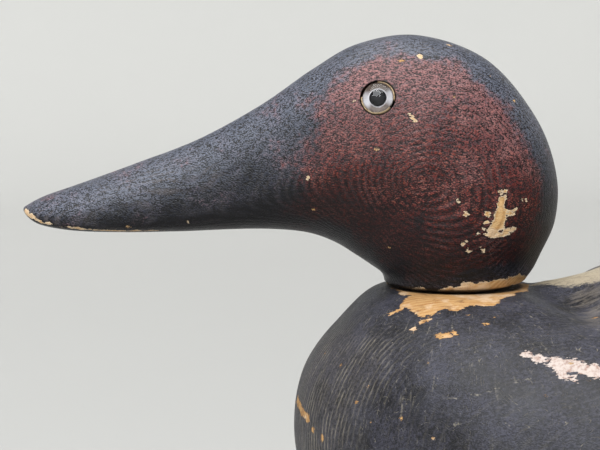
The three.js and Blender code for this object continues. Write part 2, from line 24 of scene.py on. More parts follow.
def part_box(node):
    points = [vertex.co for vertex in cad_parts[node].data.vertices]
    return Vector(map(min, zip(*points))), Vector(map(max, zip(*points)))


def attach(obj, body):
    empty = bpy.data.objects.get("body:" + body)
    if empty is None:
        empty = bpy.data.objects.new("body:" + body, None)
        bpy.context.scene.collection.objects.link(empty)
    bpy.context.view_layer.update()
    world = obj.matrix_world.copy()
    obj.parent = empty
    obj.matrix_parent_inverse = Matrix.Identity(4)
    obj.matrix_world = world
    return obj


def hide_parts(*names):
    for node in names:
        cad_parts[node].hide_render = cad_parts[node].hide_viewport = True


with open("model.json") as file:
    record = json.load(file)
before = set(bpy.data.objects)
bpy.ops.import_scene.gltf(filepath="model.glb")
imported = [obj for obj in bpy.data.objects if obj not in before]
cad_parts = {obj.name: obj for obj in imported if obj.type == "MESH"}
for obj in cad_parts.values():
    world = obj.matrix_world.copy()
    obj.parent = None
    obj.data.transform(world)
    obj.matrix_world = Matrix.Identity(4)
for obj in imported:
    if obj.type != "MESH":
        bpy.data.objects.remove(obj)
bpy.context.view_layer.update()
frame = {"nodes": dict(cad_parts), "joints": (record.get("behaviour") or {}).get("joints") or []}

log = logging.getLogger("decoy")
MM = 0.001
Shape = bmesh.types.BMesh
Piece = bpy.types.Object
Triple = tuple[float, float, float]


class Side(Enum):
    """The two cheeks, by the sign of their Y."""

    LEFT = -1
    RIGHT = 1


class Body(Enum):
    """The moving bodies that pieces ride on."""

    HULL = "hull"
    HEAD = "head"
    RING = "line_ring"


# ---- places taken from the frame


@dataclass(frozen=True)
class Datum:
    """The few places that every sub-assembly is set out from, in metres."""

    neck_x: float
    seat_z: float
    bill_reach: float
    breast_x: float
    hull_length: float
    hull_bottom: float
    seam_low: float
    seam_high: float

    @classmethod
    def from_frame(cls) -> Datum:
        """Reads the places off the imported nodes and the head's joint.

        Returns:
            The datum of this decoy.
        """
        turn = next(joint for joint in frame["joints"] if joint["name"] == "head_turn")
        neck_x, _, seat_z = turn["pos_m"]
        top_low, top_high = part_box("body_top")
        bottom_low, bottom_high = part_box("body_bottom")
        return cls(
            neck_x=neck_x,
            seat_z=seat_z,
            bill_reach=neck_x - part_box("head_block")[0].x,
            breast_x=top_low.x,
            hull_length=top_high.x - top_low.x,
            hull_bottom=bottom_low.z,
            seam_low=bottom_high.z,
            seam_high=top_low.z,
        )


DATUM = Datum.from_frame()


# ---- smooth noise and curves on arrays


def gradient_noise(points: np.ndarray, seed: int = 0) -> np.ndarray:
    """Smooth noise, with one lattice cell to a unit.

    Args:
        points: Rows of x, y, z.
        seed: Which noise of many.

    Returns:
        A value from about -1 to 1 for each row.
    """
    cell = np.floor(points).astype(np.int64)
    within = points - cell
    fade = within**3 * (within * (within * 6 - 15) + 10)
    total = np.zeros(len(points))
    for corner in itertools.product((0, 1), repeat=3):
        key = (cell + corner) @ np.array([73856093, 19349663, 83492791]) + seed * 961748941
        slope = []
        for turn in range(3):
            key = ((key ^ (key >> 15)) * 2246822519 + turn * 3266489917) & 0xFFFFFFFF
            slope.append((key & 0xFFFF) / 32767.5 - 1)
        weight = np.prod(np.where(corner, fade, 1 - fade), axis=1)
        total += weight * np.sum(np.stack(slope, 1) * (within - corner), axis=1)
    return total * 1.5


def layered_noise(points: np.ndarray, size: float, seed: int, layers: int = 3) -> np.ndarray:
    """Noise in several halving sizes.

    Args:
        points: Rows of x, y, z in metres.
        size: The largest feature, in metres.
        seed: Which noise of many.
        layers: How many sizes.

    Returns:
        A value from about -1 to 1 for each row.
    """
    total = np.zeros(len(points))
    for layer in range(layers):
        total += gradient_noise(points * (2**layer / size), seed + layer) / 2**layer
    return total / (2 - 0.5 ** (layers - 1))


def rise(value: np.ndarray | float, low: float, high: float) -> np.ndarray:
    """A smooth step from 0 at low to 1 at high, either way round."""
    share = np.clip((np.asarray(value, float) - low) / (high - low), 0, 1)
    return share * share * (3 - 2 * share)


# ---- carved blocks as lofts


def face_out(shape: Shape) -> None:
    """Turns every face of a closed shape outwards."""
    bmesh.ops.recalc_face_normals(shape, faces=shape.faces)


@dataclass(frozen=True)
class Station:
    """One section across a carved block, in shares of its driving sizes."""

    back_x: float
    back_z: float
    belly_x: float
    belly_z: float
    half_width: float
    level: float
    above: float
    below: float

    def row(self) -> list[float]:
        """The section's values in order."""
        return [self.back_x, self.back_z, self.belly_x, self.belly_z, self.half_width, self.level,
                self.above, self.below]

    def reflected(self) -> list[float]:
        """The row that carries the surface smoothly round a closed end."""
        return [self.belly_x, self.belly_z, self.back_x, self.back_z, -self.half_width,
                1 - self.level, self.below, self.above]


@dataclass
class CarvedBlock:
    """A block whose surface runs smoothly through its stations."""

    stations: Sequence[Station]
    origin: tuple[float, float]
    scale: Triple
    closed_start: bool
    closed_end: bool = True
    inset: Triple = (0.0, 0.0, 0.0)
    floor: float = -math.inf

    def section(self, station: float) -> tuple[np.ndarray, np.ndarray, float, float, float, float]:
        """The section at any station number.

        Args:
            station: From 0 at the first row to the last row's number.

        Returns:
            Back and belly points as x, z, half width, level, and fullness above and below.
        """
        rows = [one.row() for one in self.stations]
        last = len(rows) - 1
        index = min(int(station), last - 1)
        share = station - index
        before = rows[index - 1] if index else None
        after = rows[index + 2] if index + 2 <= last else None
        if before is None and self.closed_start:
            before = self.stations[1].reflected()
        if after is None and self.closed_end:
            after = self.stations[last - 1].reflected()
        start, end = np.array(rows[index]), np.array(rows[index + 1])
        slope_out = None if before is None else (end - np.array(before)) / 2
        slope_in = None if after is None else (np.array(after) - start) / 2
        if slope_out is None:
            slope_out = 1.5 * (end - start) - 0.5 * slope_in
        if slope_in is None:
            slope_in = 1.5 * (end - start) - 0.5 * slope_out
        cube, square = share**3, share**2
        row = (
            (2 * cube - 3 * square + 1) * start
            + (cube - 2 * square + share) * slope_out
            + (3 * square - 2 * cube) * end
            + (cube - square) * slope_in
        )
        roof, ground, wall = self.inset
        back_x, belly_x = self.origin[0] + row[[0, 2]] * self.scale[0]
        back_z, belly_z = self.origin[1] + row[[1, 3]] * self.scale[2]
        back = np.array([back_x, back_z - roof])
        belly = np.array([belly_x, max(belly_z, self.floor) + ground])
        return back, belly, row[4] * self.scale[1] - wall, row[5], row[6], row[7]

    def outline(self, station: float, count: int) -> np.ndarray:
        """Evenly spaced points round a section, from the middle of the back.

        Args:
            station: The station number.
            count: How many points, the last on the first.

        Returns:
            Rows of x, y, z.
        """
        back, belly, half, level, above, below = self.section(station)
        angle = np.linspace(0.5 * math.pi, 2.5 * math.pi, 4 * count)
        top = np.sin(angle) >= 0
        power = np.where(top, 2 / above, 2 / below)
        across = np.sign(np.cos(angle)) * np.abs(np.cos(angle)) ** power * half
        along = np.abs(np.sin(angle)) ** power
        middle = belly + (back - belly) * level
        end = np.where(top[:, None], back, belly)
        plane = middle + (end - middle) * along[:, None]
        points = np.stack([plane[:, 0], across, plane[:, 1]], axis=1)
        run = np.concatenate([[0], np.cumsum(np.linalg.norm(np.diff(points, axis=0), axis=1))])
        if run[-1] < 1e-9:
            return np.repeat(points[:1], count, axis=0)
        even = np.linspace(0, run[-1], count)
        return np.stack([np.interp(even, run, points[:, axis]) for axis in range(3)], axis=1)

    def even_stations(self, first: float, last: float, count: int) -> np.ndarray:
        """Station numbers that space sections evenly along the surface.

        Args:
            first: The station to start from.
            last: The station to end at.
            count: How many.

        Returns:
            The station numbers.
        """
        fine = np.linspace(first, last, 12 * (len(self.stations) - 1))
        rings = np.array([self.outline(station, 13) for station in fine])
        step = np.linalg.norm(np.diff(rings, axis=0), axis=2)
        run = np.concatenate([[0], np.cumsum(step.mean(axis=1) + step.max(axis=1))])
        return np.interp(np.linspace(0, run[-1], count), run, fine)

    def surface(self, stations: np.ndarray, sides: int) -> Shape:
        """The block's skin, as a fine grid wrapped round its sections.

        Args:
            stations: Where its sections are taken.
            sides: Steps round it.

        Returns:
            A mesh that is open only where an end section has width.
        """
        rings = len(stations)
        skin = bmesh.new()
        bmesh.ops.create_grid(skin, x_segments=rings - 1, y_segments=sides, size=0.5)
        outlines = [self.outline(one, sides + 1) for one in stations]
        for vert in skin.verts:
            ring = round((vert.co.x + 0.5) * (rings - 1))
            side = round((vert.co.y + 0.5) * sides)
            vert.co = outlines[ring][side % sides]
        bmesh.ops.remove_doubles(skin, verts=skin.verts, dist=2e-6)
        face_out(skin)
        return skin


HEAD_STATIONS = tuple(
    Station(*row)
    for row in (
        (0.161, 0.0, -0.162, 0.0, 0.775, 0.5, 2.0, 2.0),
        (0.197, 0.128, -0.17, 0.047, 0.865, 0.5, 2.0, 2.0),
        (0.231, 0.277, -0.199, 0.087, 0.95, 0.51, 2.05, 2.0),
        (0.229, 0.466, -0.232, 0.125, 1.0, 0.52, 2.1, 2.0),
        (0.178, 0.684, -0.268, 0.164, 0.985, 0.51, 2.2, 2.0),
        (0.066, 0.904, -0.308, 0.195, 0.93, 0.46, 2.3, 2.0),
        (-0.086, 0.999, -0.348, 0.214, 0.825, 0.41, 2.3, 2.0),
        (-0.225, 0.967, -0.391, 0.223, 0.7, 0.36, 2.25, 2.1),
        (-0.333, 0.863, -0.449, 0.228, 0.585, 0.32, 2.1, 2.3),
        (-0.449, 0.724, -0.522, 0.226, 0.5, 0.28, 2.0, 2.6),
        (-0.594, 0.587, -0.638, 0.22, 0.48, 0.25, 1.9, 3.0),
        (-0.746, 0.486, -0.761, 0.219, 0.51, 0.23, 1.95, 3.4),
        (-0.87, 0.408, -0.87, 0.225, 0.49, 0.23, 2.0, 3.4),
        (-0.949, 0.36, -0.946, 0.243, 0.37, 0.26, 2.0, 3.0),
        (-0.988, 0.326, -0.983, 0.27, 0.2, 0.33, 2.0, 2.4),
        (-1.0, 0.305, -1.0, 0.305, 0.0, 0.5, 2.0, 2.0),
    )
)

HULL_STATIONS = tuple(
    Station(*row)
    for row in (
        (0.0, -0.446, 0.0, -0.446, 0.0, 0.5, 2.0, 2.0),
        (0.0033, -0.33, 0.0036, -0.553, 0.136, 0.5, 2.0, 2.0),
        (0.0139, -0.228, 0.0153, -0.689, 0.272, 0.5, 2.0, 2.1),
        (0.0362, -0.126, 0.0403, -0.835, 0.435, 0.49, 2.0, 2.3),
        (0.0737, -0.008, 0.0821, -0.951, 0.598, 0.47, 2.05, 2.6),
        (0.121, 0.0155, 0.132, -1.003, 0.75, 0.46, 2.2, 2.9),
        (0.1766, 0.0155, 0.1878, -1.01, 0.848, 0.45, 2.2, 3.1),
        (0.2184, 0.0165, 0.2323, -1.01, 0.902, 0.44, 2.2, 3.2),
        (0.2712, 0.045, 0.2879, -1.01, 0.957, 0.42, 2.1, 3.2),
        (0.3602, 0.093, 0.3714, -1.01, 0.992, 0.39, 2.1, 3.2),
        (0.477, 0.097, 0.4826, -1.01, 0.992, 0.38, 2.15, 3.2),
        (0.6022, 0.029, 0.6022, -1.005, 0.935, 0.39, 2.15, 3.0),
        (0.7274, -0.107, 0.7163, -0.951, 0.793, 0.43, 2.1, 2.6),
        (0.8387, -0.223, 0.822, -0.757, 0.576, 0.5, 2.0, 2.3),
        (0.9221, -0.286, 0.911, -0.544, 0.38, 0.5, 2.0, 2.1),
        (0.9777, -0.32, 0.975, -0.408, 0.207, 0.5, 2.0, 2.0),
        (1.0, -0.359, 1.0, -0.359, 0.0, 0.5, 2.0, 2.0),
    )
)


# ---- mesh work that every piece shares


def profile_spin(profile: Sequence[tuple[float, float]], steps: int) -> Shape:
    """A round piece spun about +Z from a profile that starts and ends on the axis.

    Args:
        profile: Pairs of radius and height, in metres.
        steps: Steps round the axis.

    Returns:
        The closed piece.
    """
    turned = bmesh.new()
    verts = [turned.verts.new((radius, 0, height)) for radius, height in profile]
    edges = [turned.edges.new(pair) for pair in zip(verts, verts[1:])]
    bmesh.ops.spin(
        turned, geom=verts + edges, axis=(0, 0, 1), cent=(0, 0, 0), angle=2 * math.pi,
        steps=steps, use_merge=True,
    )
    bmesh.ops.remove_doubles(turned, verts=turned.verts, dist=1e-7)
    face_out(turned)
    return turned


def spun_mm(profile: Iterable[tuple[float, float]], steps: int) -> Shape:
    """A round piece spun from a profile in millimetres, with no radius below zero."""
    return profile_spin([(max(radius, 0) * MM, height * MM) for radius, height in profile], steps)


def wire_ring(radius: float, wire: float, steps: int, sides: int) -> Shape:
    """A ring of round wire about the Y axis.

    Args:
        radius: To the middle of the wire.
        wire: The wire's own radius.
        steps: Steps round the ring.
        sides: Steps round the wire.

    Returns:
        The closed ring.
    """
    ring = bmesh.new()
    place = Matrix.Translation((radius, 0, 0)) @ Matrix.Rotation(math.pi / 2, 4, "X")
    made = bmesh.ops.create_circle(ring, segments=sides, radius=wire, matrix=place)
    # the section lies in the XZ plane, and turns about Z; the ring is then stood on its edge
    bmesh.ops.spin(
        ring, geom=made["verts"] + ring.edges[:], axis=(0, 0, 1), cent=(0, 0, 0), angle=2 * math.pi,
        steps=steps, use_merge=True,
    )
    bmesh.ops.remove_doubles(ring, verts=ring.verts, dist=1e-7)
    bmesh.ops.rotate(ring, verts=ring.verts, matrix=Matrix.Rotation(math.pi / 2, 3, "X"))
    face_out(ring)
    return ring


def as_object(name: str, shape: Shape) -> Piece:
    """Puts a finished bmesh in the scene, at the origin.

    Args:
        name: The piece's name.
        shape: Its mesh, which is freed.

    Returns:
        The object.
    """
    mesh = bpy.data.meshes.new(name)
    shape.to_mesh(mesh)
    shape.free()
    piece = bpy.data.objects.new(name, mesh)
    bpy.context.scene.collection.objects.link(piece)
    return piece


def modify(piece: Piece, kind: str, **settings: object) -> None:
    """Replaces a piece's mesh by what one modifier makes of it.

    Args:
        piece: The piece.
        kind: The modifier's kind.
        **settings: The modifier's settings by name.
    """
    modifier = piece.modifiers.new("modifier", kind)
    for name, value in settings.items():
        setattr(modifier, name, value)
    bpy.context.view_layer.update()
    evaluated = piece.evaluated_get(bpy.context.evaluated_depsgraph_get())
    mesh = bpy.data.meshes.new_from_object(evaluated)
    old = piece.data
    piece.modifiers.clear()
    piece.data = mesh
    mesh.name = old.name
    bpy.data.meshes.remove(old)


def cut_away(piece: Piece, cutters: Iterable[Shape]) -> None:
    """Cuts closed shapes out of a piece.

    Args:
        piece: What is cut.
        cutters: Shapes clear of each other, which are freed.
    """
    joined = bmesh.new()
    for cutter in cutters:
        scratch = bpy.data.meshes.new("cutter_part")
        cutter.to_mesh(scratch)
        cutter.free()
        joined.from_mesh(scratch)
        bpy.data.meshes.remove(scratch)
    tool = as_object("cutter", joined)
    modify(piece, "BOOLEAN", operation="DIFFERENCE", solver="EXACT", object=tool)
    bpy.data.objects.remove(tool)


def rod(radius: float, low: float, high: float, x: float, y: float, steps: int) -> Shape:
    """An upright round rod, used as a cutter.

    Args:
        radius: Its radius.
        low: Height of its lower end.
        high: Height of its upper end.
        x: Its axis.
        y: Its axis.
        steps: Steps round it.

    Returns:
        The closed rod.
    """
    shape = profile_spin(((0, low), (radius, low), (radius, high), (0, high)), steps)
    bmesh.ops.translate(shape, verts=shape.verts, vec=(x, y, 0))
    return shape


def packed_boxes(*kinds: str) -> Iterator[tuple[Vector, Vector]]:
    """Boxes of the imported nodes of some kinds, in the order of their names.

    Args:
        *kinds: What the nodes' names begin with.

    Yields:
        Each node's low and high corners.
    """
    for name in sorted(frame["nodes"]):
        if name.startswith(kinds):
            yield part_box(name)


def shade(piece: Piece, angle: float = 38.0) -> None:
    """Shades a piece smoothly, apart from edges that turn by more than an angle in degrees.

    Args:
        piece: The piece.
        angle: The least turn that stays a sharp edge.
    """
    shape = bmesh.new()
    shape.from_mesh(piece.data)
    for face in shape.faces:
        face.smooth = True
    for edge in shape.edges:
        edge.smooth = edge.calc_face_angle(0.0) < math.radians(angle)
    shape.to_mesh(piece.data)
    shape.free()


def finish_piece(piece: Piece, body: Body, material: bpy.types.Material, slot: str,
                 *stands_for: str) -> Piece:
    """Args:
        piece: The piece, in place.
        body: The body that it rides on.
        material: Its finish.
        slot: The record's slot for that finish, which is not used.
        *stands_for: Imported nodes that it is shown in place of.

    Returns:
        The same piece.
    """
    piece.data.materials.clear()
    piece.data.materials.append(material)
    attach(piece, body.value)
    if stands_for:
        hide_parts(*stands_for)
    return piece


def points_and_normals(mesh: bpy.types.Mesh) -> tuple[np.ndarray, np.ndarray]:
    """A mesh's vertices and their normals as arrays.

    Args:
        mesh: The mesh.

    Returns:
        The points and the normals, with a row to each vertex.
    """
    count = len(mesh.vertices)
    points, normals = np.empty(count * 3), np.empty(count * 3)
    mesh.vertices.foreach_get("co", points)
    mesh.vertex_normals.foreach_get("vector", normals)
    return points.reshape(-1, 3), normals.reshape(-1, 3)


def raise_surface(mesh: bpy.types.Mesh, points: np.ndarray, normals: np.ndarray, lift: np.ndarray) -> None:
    """Moves each vertex along its normal by its own lift, in metres."""
    mesh.vertices.foreach_set("co", (points + normals * lift[:, None]).ravel())
    mesh.update()


def keep_field(mesh: bpy.types.Mesh, name: str, values: np.ndarray) -> None:
    """Stores one number for each vertex, for a material to read."""
    mesh.attributes.new(name, "FLOAT", "POINT").data.foreach_set("value", values.astype(np.float32))


# ---- node trees and shared effects

Socket = bpy.types.NodeSocket
Value = float | tuple | Vector | Socket
Colour = tuple[float, float, float, float]
Slots = dict[str, bpy.types.Material]


def paint(red: int, green: int, blue: int) -> Colour:
    """A colour as it is shown on a display.

    Args:
        red: From 0 to 255.
        green: From 0 to 255.
        blue: From 0 to 255.

    Returns:
        The linear colour that shaders take.
    """
    linear = [
        share / 12.92 if share <= 0.04045 else ((share + 0.055) / 1.055) ** 2.4
        for share in (red / 255, green / 255, blue / 255)
    ]
    return linear[0], linear[1], linear[2], 1.0


@dataclass
class Net:
    """A node tree, with short calls for the nodes that finishes are made of."""

    tree: bpy.types.NodeTree

    def node(self, kind: str, **settings: object) -> bpy.types.Node:
        """A new node.

        Args:
            kind: The node's kind.
            **settings: Its settings by name.

        Returns:
            The node.
        """
        made = self.tree.nodes.new(kind)
        for name, value in settings.items():
            setattr(made, name, value)
        return made

    def put(self, socket: Socket, value: Value) -> None:
        """Links a socket to a value, or sets it.

        Args:
            socket: An input.
            value: Another node's output, or a value.
        """
        if isinstance(value, Socket):
            self.tree.links.new(value, socket)
        else:
            socket.default_value = value

    def math(self, operation: str, *values: Value, clamp: bool = False) -> Socket:
        """A sum, product or other operation on numbers.

        Args:
            operation: The operation.
            *values: Its numbers.
            clamp: Whether to keep it from 0 to 1.

        Returns:
            The outcome.
        """
        made = self.node("ShaderNodeMath", operation=operation, use_clamp=clamp)
        for socket, value in zip(made.inputs, values):
            self.put(socket, value)
        return made.outputs[0]

    def times(self, first: Value, second: Value) -> Socket:
        """Two numbers multiplied."""
        return self.math("MULTIPLY", first, second)

    def plus(self, first: Value, second: Value) -> Socket:
        """Two numbers added."""
        return self.math("ADD", first, second)

    def scaled(self, value: Value, factor: Value, offset: Value, clamp: bool = False) -> Socket:
        """A number times a factor, plus an offset."""
        return self.math("MULTIPLY_ADD", value, factor, offset, clamp=clamp)

    def laid(self, under: Value, over: Value, mask: Value, strength: float) -> Socket:
        """One colour laid over another where a mask is, at a strength."""
        return self.colour_mix(self.times(mask, strength), under, over)

    def stretch(self, vector: Value, scale: Triple) -> Socket:
        """A vector with each axis multiplied.

        Args:
            vector: The vector.
            scale: A factor for each axis.

        Returns:
            The stretched vector.
        """
        made = self.node("ShaderNodeVectorMath", operation="MULTIPLY")
        self.put(made.inputs[0], vector)
        self.put(made.inputs[1], scale)
        return made.outputs[0]

    def colour_mix(self, share: Value, first: Value, second: Value) -> Socket:
        """Two colours mixed by a share.

        Args:
            share: The second colour's share.
            first: A colour.
            second: A colour.

        Returns:
            The mixed colour.
        """
        made = self.node("ShaderNodeMix", data_type="RGBA")
        for name, value in (("Factor_Float", share), ("A_Color", first), ("B_Color", second)):
            socket = next(one for one in made.inputs if one.identifier == name)
            self.put(socket, value)
        return next(one for one in made.outputs if one.identifier == "Result_Color")

    def between(self, share: Value, first: Value, second: Value) -> Socket:
        """Two numbers mixed by a share.

        Args:
            share: The second number's share.
            first: A number.
            second: A number.

        Returns:
            The mixed number.
        """
        made = self.node("ShaderNodeMix", data_type="FLOAT")
        for socket, value in zip(made.inputs[:1] + made.inputs[2:4], (share, first, second)):
            self.put(socket, value)
        return made.outputs[0]

    def noise(self, vector: Value, scale: float, detail: float = 2.0, roughness: float = 0.5,
              distortion: float = 0.0) -> Socket:
        """Noise from 0 to 1.

        Args:
            vector: Where it is read.
            scale: Features to the metre.
            detail: How many finer layers.
            roughness: How strong the finer layers are.
            distortion: How far it is stirred.

        Returns:
            The noise.
        """
        made = self.node("ShaderNodeTexNoise")
        self.put(made.inputs["Vector"], vector)
        for name, value in (("Scale", scale), ("Detail", detail), ("Roughness", roughness),
                            ("Distortion", distortion)):
            made.inputs[name].default_value = value
        return made.outputs["Fac"]

    def fibre_noise(self, place: Value, along: float, scale: float, detail: float,
                    roughness: float) -> Socket:
        """Noise drawn out along X, where the wood's fibres run."""
        return self.noise(self.stretch(place, (along, 1.0, 1.0)), scale, detail, roughness)

    def step(self, value: Value, low: Value, high: Value) -> Socket:
        """A smooth step from 0 at low to 1 at high.

        Args:
            value: What is tested.
            low: Where the step starts.
            high: Where it ends.

        Returns:
            The step.
        """
        made = self.node("ShaderNodeMapRange", interpolation_type="SMOOTHSTEP")
        for name, one in (("Value", value), ("From Min", low), ("From Max", high)):
            self.put(made.inputs[name], one)
        return made.outputs["Result"]

    def field(self, name: str) -> Socket:
        """A number stored on the piece's vertices."""
        return self.node("ShaderNodeAttribute", attribute_name=name).outputs["Fac"]

    def place(self) -> Socket:
        """Where a point lies on the object, in metres."""
        return self.node("ShaderNodeTexCoord").outputs["Object"]

    def effect(self, tree: bpy.types.NodeTree, **inputs: Value) -> bpy.types.Node:
        """A shared effect, placed with its own values.

        Args:
            tree: The effect.
            **inputs: Its inputs, by their names in small letters.

        Returns:
            The effect's node.
        """
        made = self.node("ShaderNodeGroup", node_tree=tree)
        for name, value in inputs.items():
            self.put(made.inputs[name.replace("_", " ").title()], value)
        return made


class Effects:
    """The effects that several finishes share, each a node group that is built once."""

    bleached: Colour = paint(206, 184, 158)
    grime_and_shade: Colour = paint(92, 60, 38)

    def __init__(self) -> None:
        """Builds every group."""
        self.rings = self._growth_rings()
        self.fibres = self._fibres()
        self.chipped = self._chipped()
        self.flecks = self._flecks()
        self.timber = self._timber()
        self.scuffs = self._scuffs()

    @staticmethod
    def _begin(name: str, inputs: dict[str, str],
               outputs: dict[str, str]) -> tuple[Net, dict[str, Socket], bpy.types.Node]:
        """Opens a group with named sockets.

        Args:
            name: The group's name.
            inputs: Socket kinds by name.
            outputs: Socket kinds by name.

        Returns:
            Its net, its inputs by name, and its output node.
        """
        tree = bpy.data.node_groups.new(name, "ShaderNodeTree")
        for direction, sockets in (("INPUT", inputs), ("OUTPUT", outputs)):
            for socket, kind in sockets.items():
                tree.interface.new_socket(name=socket, in_out=direction, socket_type=f"NodeSocket{kind}")
        net = Net(tree)
        start = net.node("NodeGroupInput")
        end = net.node("NodeGroupOutput")
        return net, {socket: start.outputs[socket] for socket in inputs}, end

    def _growth_rings(self) -> bpy.types.NodeTree:
        """Raised hard lines of the growth rings, from a phase that counts them.

        Returns:
            The group.
        """
        net, given, out = self._begin(
            "growth_rings",
            {"Phase": "Float", "Place": "Vector", "Sharpness": "Float"},
            {"Line": "Float", "Height": "Float"},
        )
        place = given["Place"]
        wander = net.noise(place, 420, 2, 0.6)
        phase = net.plus(given["Phase"], net.times(wander, 0.55))
        wave = net.math("SINE", net.times(phase, 2 * math.pi))
        raised = net.scaled(wave, 0.5, 0.5)
        strength = net.step(net.noise(place, 75, 2, 0.6), 0.3, 0.66)
        line = net.times(net.math("POWER", raised, given["Sharpness"]), strength)
        net.put(out.inputs["Line"], line)
        net.put(out.inputs["Height"], net.times(raised, net.scaled(strength, 0.7, 0.3)))
        return net.tree

    def _fibres(self) -> bpy.types.NodeTree:
        """Raised wood fibres that run along X: long streaks, and the short weave of open pores.

        Returns:
            The group.
        """
        net, given, out = self._begin(
            "wood_fibres", {"Place": "Vector"}, {"Streak": "Float", "Weave": "Float"}
        )
        place = given["Place"]
        coarse = net.fibre_noise(place, 0.16, 1500, 2, 0.6)
        fine = net.fibre_noise(place, 0.35, 3200, 1, 0.5)
        net.put(out.inputs["Streak"], net.between(0.42, coarse, fine))
        short = net.fibre_noise(place, 0.6, 2900, 1, 0.5)
        wide = net.fibre_noise(place, 0.4, 1300, 2, 0.6)
        net.put(out.inputs["Weave"], net.step(net.between(0.36, short, wide), 0.32, 0.68))
        return net.tree

    def _chipped(self) -> bpy.types.NodeTree:
        """Where a coat is lost: a field's zero line made ragged, and the lip of the coat round it.

        Returns:
            The group.
        """
        net, given, out = self._begin(
            "chipped_coat",
            {"Field": "Float", "Place": "Vector", "Ragged": "Float"},
            {"Lost": "Float", "Lip": "Float", "Rim": "Float"},
        )
        place = given["Place"]
        big = net.fibre_noise(place, 0.6, 420, 3, 0.7)
        small = net.fibre_noise(place, 0.4, 1250, 3, 0.7)
        jitter = net.plus(net.math("SUBTRACT", big, 0.52), net.scaled(small, 1.3, -0.65))
        edge = net.plus(given["Field"], net.times(jitter, given["Ragged"]))
        lost = net.step(edge, -0.04, 0.05)
        wide = net.step(edge, -0.42, 0.0)
        net.put(out.inputs["Lost"], lost)
        net.put(out.inputs["Lip"], net.math("SUBTRACT", wide, lost, clamp=True))
        net.put(out.inputs["Rim"], net.times(lost, net.step(edge, 0.55, 0.12)))
        return net.tree

    def _flecks(self) -> bpy.types.NodeTree:
        """Scattered small flecks where the coat is gone.

        Returns:
            The group.
        """
        net, given, out = self._begin(
            "flecks", {"Place": "Vector", "Pitch": "Float", "Amount": "Float"}, {"Mask": "Float"}
        )
        place = given["Place"]
        stretched = net.stretch(place, (0.62, 1.0, 1.0))
        cells = net.node("ShaderNodeTexVoronoi", feature="F1")
        net.put(cells.inputs["Vector"], stretched)
        net.put(cells.inputs["Scale"], given["Pitch"])
        chance = net.node("ShaderNodeSeparateColor")
        net.put(chance.inputs[0], cells.outputs["Color"])
        chosen = net.math("LESS_THAN", chance.outputs[0], given["Amount"])
        ragged = net.noise(place, 3000, 2, 0.6)
        reach = net.times(net.times(chance.outputs[1], 0.36), net.step(ragged, 0.25, 0.7))
        inside = net.step(net.math("SUBTRACT", reach, cells.outputs["Distance"]), -0.04, 0.05)
        net.put(out.inputs["Mask"], net.times(inside, chosen))
        return net.tree

    def _timber(self) -> bpy.types.NodeTree:
        """Bare softwood: pale early wood, amber late wood, fibres and handling dirt.

        Returns:
            The group.
        """
        net, given, out = self._begin(
            "bare_timber",
            {"Place": "Vector", "Phase": "Float", "Pale": "Color", "Amber": "Color"},
            {"Colour": "Color", "Height": "Float"},
        )
        place = given["Place"]
        streak = net.fibre_noise(place, 0.1, 900, 3, 0.6)
        band = net.math("SINE", net.times(given["Phase"], 2 * math.pi))
        ripple = net.scaled(band, 0.13, 0.5)
        share = net.step(net.plus(ripple, net.scaled(streak, 0.9, -0.45)), 0.25, 0.95)
        tone = net.colour_mix(share, given["Pale"], given["Amber"])
        bleached = net.step(net.noise(place, 120, 3, 0.6), 0.48, 0.66)
        tone = net.laid(tone, self.bleached, bleached, 0.55)
        dirt_and_shade = net.step(net.noise(place, 260, 4, 0.7), 0.5, 0.76)
        net.put(out.inputs["Colour"], net.laid(tone, self.grime_and_shade, dirt_and_shade, 0.6))
        net.put(out.inputs["Height"], net.plus(ripple, streak))
        return net.tree

    def _scuffs(self) -> bpy.types.NodeTree:
        """Fine pale scratches that curve about, and a haze of dust.

        Returns:
            The group.
        """
        net, given, out = self._begin(
            "scuffs", {"Place": "Vector"}, {"Scratch": "Float", "Haze": "Float"}
        )
        place = given["Place"]
        swirl = net.noise(place, 34, 2, 0.5, 1.6)
        turns = net.math("FRACT", net.times(swirl, 46))
        ridge = net.math("ABSOLUTE", net.math("SUBTRACT", turns, 0.5))
        thin = net.step(ridge, 0.07, 0.0)
        broken = net.step(net.noise(place, 520, 3, 0.65), 0.5, 0.66)
        net.put(out.inputs["Scratch"], net.times(thin, broken))
        net.put(out.inputs["Haze"], net.step(net.noise(place, 60, 4, 0.62), 0.35, 0.75))
        return net.tree


EFFECTS = Effects()


def new_finish(name: str) -> tuple[bpy.types.Material, Net, bpy.types.Node]:
    """A material with only its shader.

    Args:
        name: The material's name.

    Returns:
        The material, its net, and its Principled shader.
    """
    material = bpy.data.materials.new(name)
    material.use_nodes = True
    net = Net(material.node_tree)
    shader = next(node for node in material.node_tree.nodes if node.type == "BSDF_PRINCIPLED")
    return material, net, shader


def bump(net: Net, height: Value, shader: bpy.types.Node) -> None:
    """Feeds a height to a shader's normal.

    Args:
        net: The finish's net.
        height: The height, in millimetres.
        shader: Its shader.
    """
    made = net.node("ShaderNodeBump")
    made.inputs["Strength"].default_value = 1.0
    made.inputs["Distance"].default_value = MM
    net.put(made.inputs["Height"], height)
    net.put(shader.inputs["Normal"], made.outputs[0])


